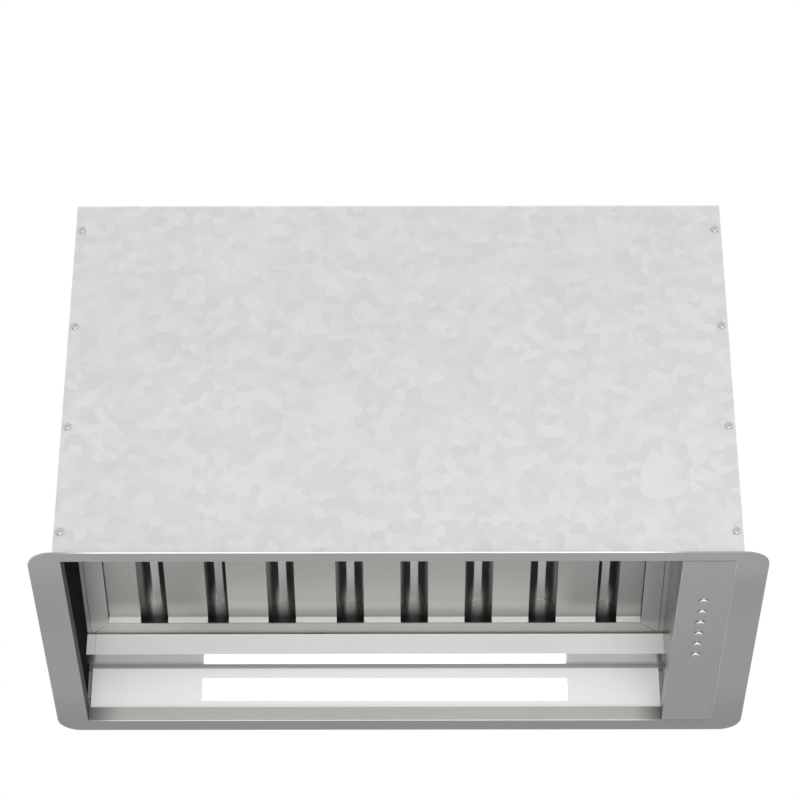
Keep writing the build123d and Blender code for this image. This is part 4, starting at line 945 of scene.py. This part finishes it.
def make_moulding():
    """Group: the fine grain and slow shade of a moulded surface, as colour and height."""
    group, given, result = new_group(
        "moulding",
        (
            ("Colour", "NodeSocketColor", (0.5, 0.5, 0.5, 1.0)),
            ("Grain", "NodeSocketFloat", 1200.0),
            ("Shade", "NodeSocketFloat", 0.10),
        ),
        (("Colour", "NodeSocketColor"), ("Height", "NodeSocketFloat")),
    )
    place = group.nodes.new("ShaderNodeTexCoord")
    grain = group.nodes.new("ShaderNodeTexNoise")
    grain.inputs["Detail"].default_value = 4.0
    group.links.new(place.outputs["Object"], grain.inputs["Vector"])
    group.links.new(given.outputs["Grain"], grain.inputs["Scale"])
    clouds = add_noise(group, place.outputs["Object"], 22.0, 3.0)
    fine = add_math(group, "SUBTRACT", grain.outputs["Fac"], 0.5)
    shade = add_math(group, "MULTIPLY_ADD", clouds, given.outputs["Shade"], 1.0)
    shade = add_math(group, "MULTIPLY_ADD", fine, given.outputs["Shade"], shade)
    group.links.new(add_scale(group, given.outputs["Colour"], shade), result.inputs["Colour"])
    group.links.new(grain.outputs["Fac"], result.inputs["Height"])
    return group


moulding = make_moulding()


def moulded(name, colour, grain, shade, roughness, height, metallic=0.0):
    """A moulded or cast surface. height is the depth of its grain in metres."""
    material, shader = start_material(name, colour, metallic, roughness)
    lay_finish(material, shader, moulding, height, colour=(*colour, 1.0), grain=grain, shade=shade)
    return material


box_plastic = moulded("grey moulded box", (0.40, 0.405, 0.41), 1500.0, 0.12, 0.48, 0.00002)
dress(box_plastic, "terminal_box", "terminal_lid", "board_posts")
gland_plastic = moulded("black moulded gland", (0.030, 0.030, 0.032), 1800.0, 0.3, 0.42, 0.00001)
dress(gland_plastic, "cable_gland", "switches")
seal_rubber = moulded("soft black rubber", (0.018, 0.018, 0.018), 900.0, 0.4, 0.75, 0.00004)
dress(seal_rubber, "rubber_mounts")

lid_low, lid_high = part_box("terminal_lid")
lid_screw_radius = 0.0026
lid_screw_height = 0.0012
lid_screw_inset = 0.007
head = make_screw_head(lid_screw_radius, lid_screw_height)
lid_heads = repeat_piece(head, [
    Matrix.Translation((x, y, lid_high[2])) @ Matrix.Rotation(radians(turn), 4, "Z")
    for x, y, turn in (
        (lid_low[0] + lid_screw_inset, lid_low[1] + lid_screw_inset, 10.0),
        (lid_high[0] - lid_screw_inset, lid_high[1] - lid_screw_inset, 55.0),
    )
])
finish_piece(lid_heads, "lid_screw_heads", fastener_zinc, "fastener", "housing")


def make_ring(outer, inner, length, sides):
    """A tube wall modelled upright: a cylinder whose two ends are inset and joined through."""
    bpy.ops.object.select_all(action="DESELECT")
    bpy.ops.mesh.primitive_cylinder_add(
        vertices=sides, radius=outer, depth=length, location=(0.0, 0.0, length / 2)
    )
    ring = bpy.context.object
    bpy.ops.object.transform_apply(location=True)
    pick(ring, lambda face: abs(face.normal.z) > 0.99)
    bpy.ops.mesh.inset(thickness=outer - inner)
    bpy.ops.mesh.bridge_edge_loops()
    bpy.ops.object.mode_set(mode="OBJECT")
    return ring


def set_in_gland(piece, distance, soft_edge):
    """Lays a ring along the gland, at a distance from its outer end, and softens its edges."""
    piece.matrix_world = aimed(gland_low[0] + distance, gland_y, gland_z, leftwards)
    bevel = piece.modifiers.new("soft edges", "BEVEL")
    bevel.width = soft_edge
    bevel.segments = 2


gland_low, gland_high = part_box("cable_gland")
gland_y = (gland_low[1] + gland_high[1]) / 2
gland_z = (gland_low[2] + gland_high[2]) / 2
# the cap nut, with a groove pressed into every third face of its rim
nut_radius = 0.0098
nut_bore = 0.0062
nut_length = 0.0062
cap_nut = make_ring(nut_radius, nut_bore, nut_length, 36)
pick(cap_nut, lambda face: abs(face.normal.z) < 0.1 and face.center.xy.length > 0.009
     and face.index % 3 == 0)
bpy.ops.mesh.inset(thickness=0.0003)
bpy.ops.transform.resize(value=(0.96, 0.96, 1.0), center_override=(0.0, 0.0, nut_length / 2))
bpy.ops.object.mode_set(mode="OBJECT")
set_in_gland(cap_nut, 0.0064, 0.0003)
finish_piece(cap_nut, "gland_cap_nut", gland_plastic, "switch_plastic", "housing")

# the seal, which the nut squeezes round the lead
seal_radius = 0.0063
seal_bore = 0.0042
seal_length = 0.0050
seal = make_ring(seal_radius, seal_bore, seal_length, 32)
set_in_gland(seal, 0.0054, 0.0004)
finish_piece(seal, "gland_seal", seal_rubber, "rubber", "housing")

# ------------------------------------------------------------------ blower
# Two moulded scroll halves with flared inlet rings, a galvanised wheel with leaning blades and
# an aluminium motor in its middle.
scroll_plastic = moulded("dark moulded scroll", (0.10, 0.10, 0.105), 1100.0, 0.2, 0.45, 0.00003)
dress(scroll_plastic, "scroll_left", "scroll_right", "inlet_rings")
wheel_zinc = zinc_coat("zinc coated wheel", (0.55, 0.555, 0.55), 0.10, 220.0, 0.34, 0.85)
dress(wheel_zinc, "impeller")
motor_cast = moulded("cast aluminium motor", (0.52, 0.525, 0.53), 1400.0, 0.16, 0.38, 0.00003, 0.9)
dress(motor_cast, "motor")
dress(fastener_zinc, "motor_screws")

# ------------------------------------------------------------------ electrics
# Green glass-fibre boards with their tracks under the lacquer, and moulded cases for the lamp
# driver and the motor's capacitor. The two catch magnets are dark ferrite.


def make_tracks():
    """Group: copper tracks as paler lines under green lacquer, as colour and height."""
    group, given, result = new_group(
        "tracks",
        (
            ("Lacquer", "NodeSocketColor", (0.02, 0.10, 0.04, 1.0)),
            ("Track", "NodeSocketColor", (0.05, 0.20, 0.08, 1.0)),
        ),
        (("Colour", "NodeSocketColor"), ("Height", "NodeSocketFloat")),
    )
    place = group.nodes.new("ShaderNodeTexCoord")
    cells = group.nodes.new("ShaderNodeTexVoronoi")
    cells.distance = "MANHATTAN"
    cells.feature = "DISTANCE_TO_EDGE"
    cells.inputs["Scale"].default_value = 230.0
    group.links.new(place.outputs["Object"], cells.inputs["Vector"])
    line = add_math(group, "LESS_THAN", cells.outputs["Distance"], 0.07)
    blend = group.nodes.new("ShaderNodeMix")
    blend.data_type = "RGBA"
    group.links.new(line, blend.inputs["Factor"])
    group.links.new(given.outputs["Lacquer"], blend.inputs[6])
    group.links.new(given.outputs["Track"], blend.inputs[7])
    group.links.new(blend.outputs[2], result.inputs["Colour"])
    group.links.new(line, result.inputs["Height"])
    return group


board_green, shader = start_material("green lacquered board", (0.02, 0.10, 0.04), 0.0, 0.32)
lay_finish(board_green, shader, make_tracks(), 0.00003)
dress(board_green, "button_board", "power_board", "led_board")
driver_plastic = moulded("white moulded case", (0.62, 0.62, 0.61), 1300.0, 0.08, 0.45, 0.00002)
dress(driver_plastic, "led_driver", "capacitor")
ferrite = moulded("dark ferrite", (0.05, 0.05, 0.052), 700.0, 0.5, 0.6, 0.00004)
dress(ferrite, "catch_magnets")
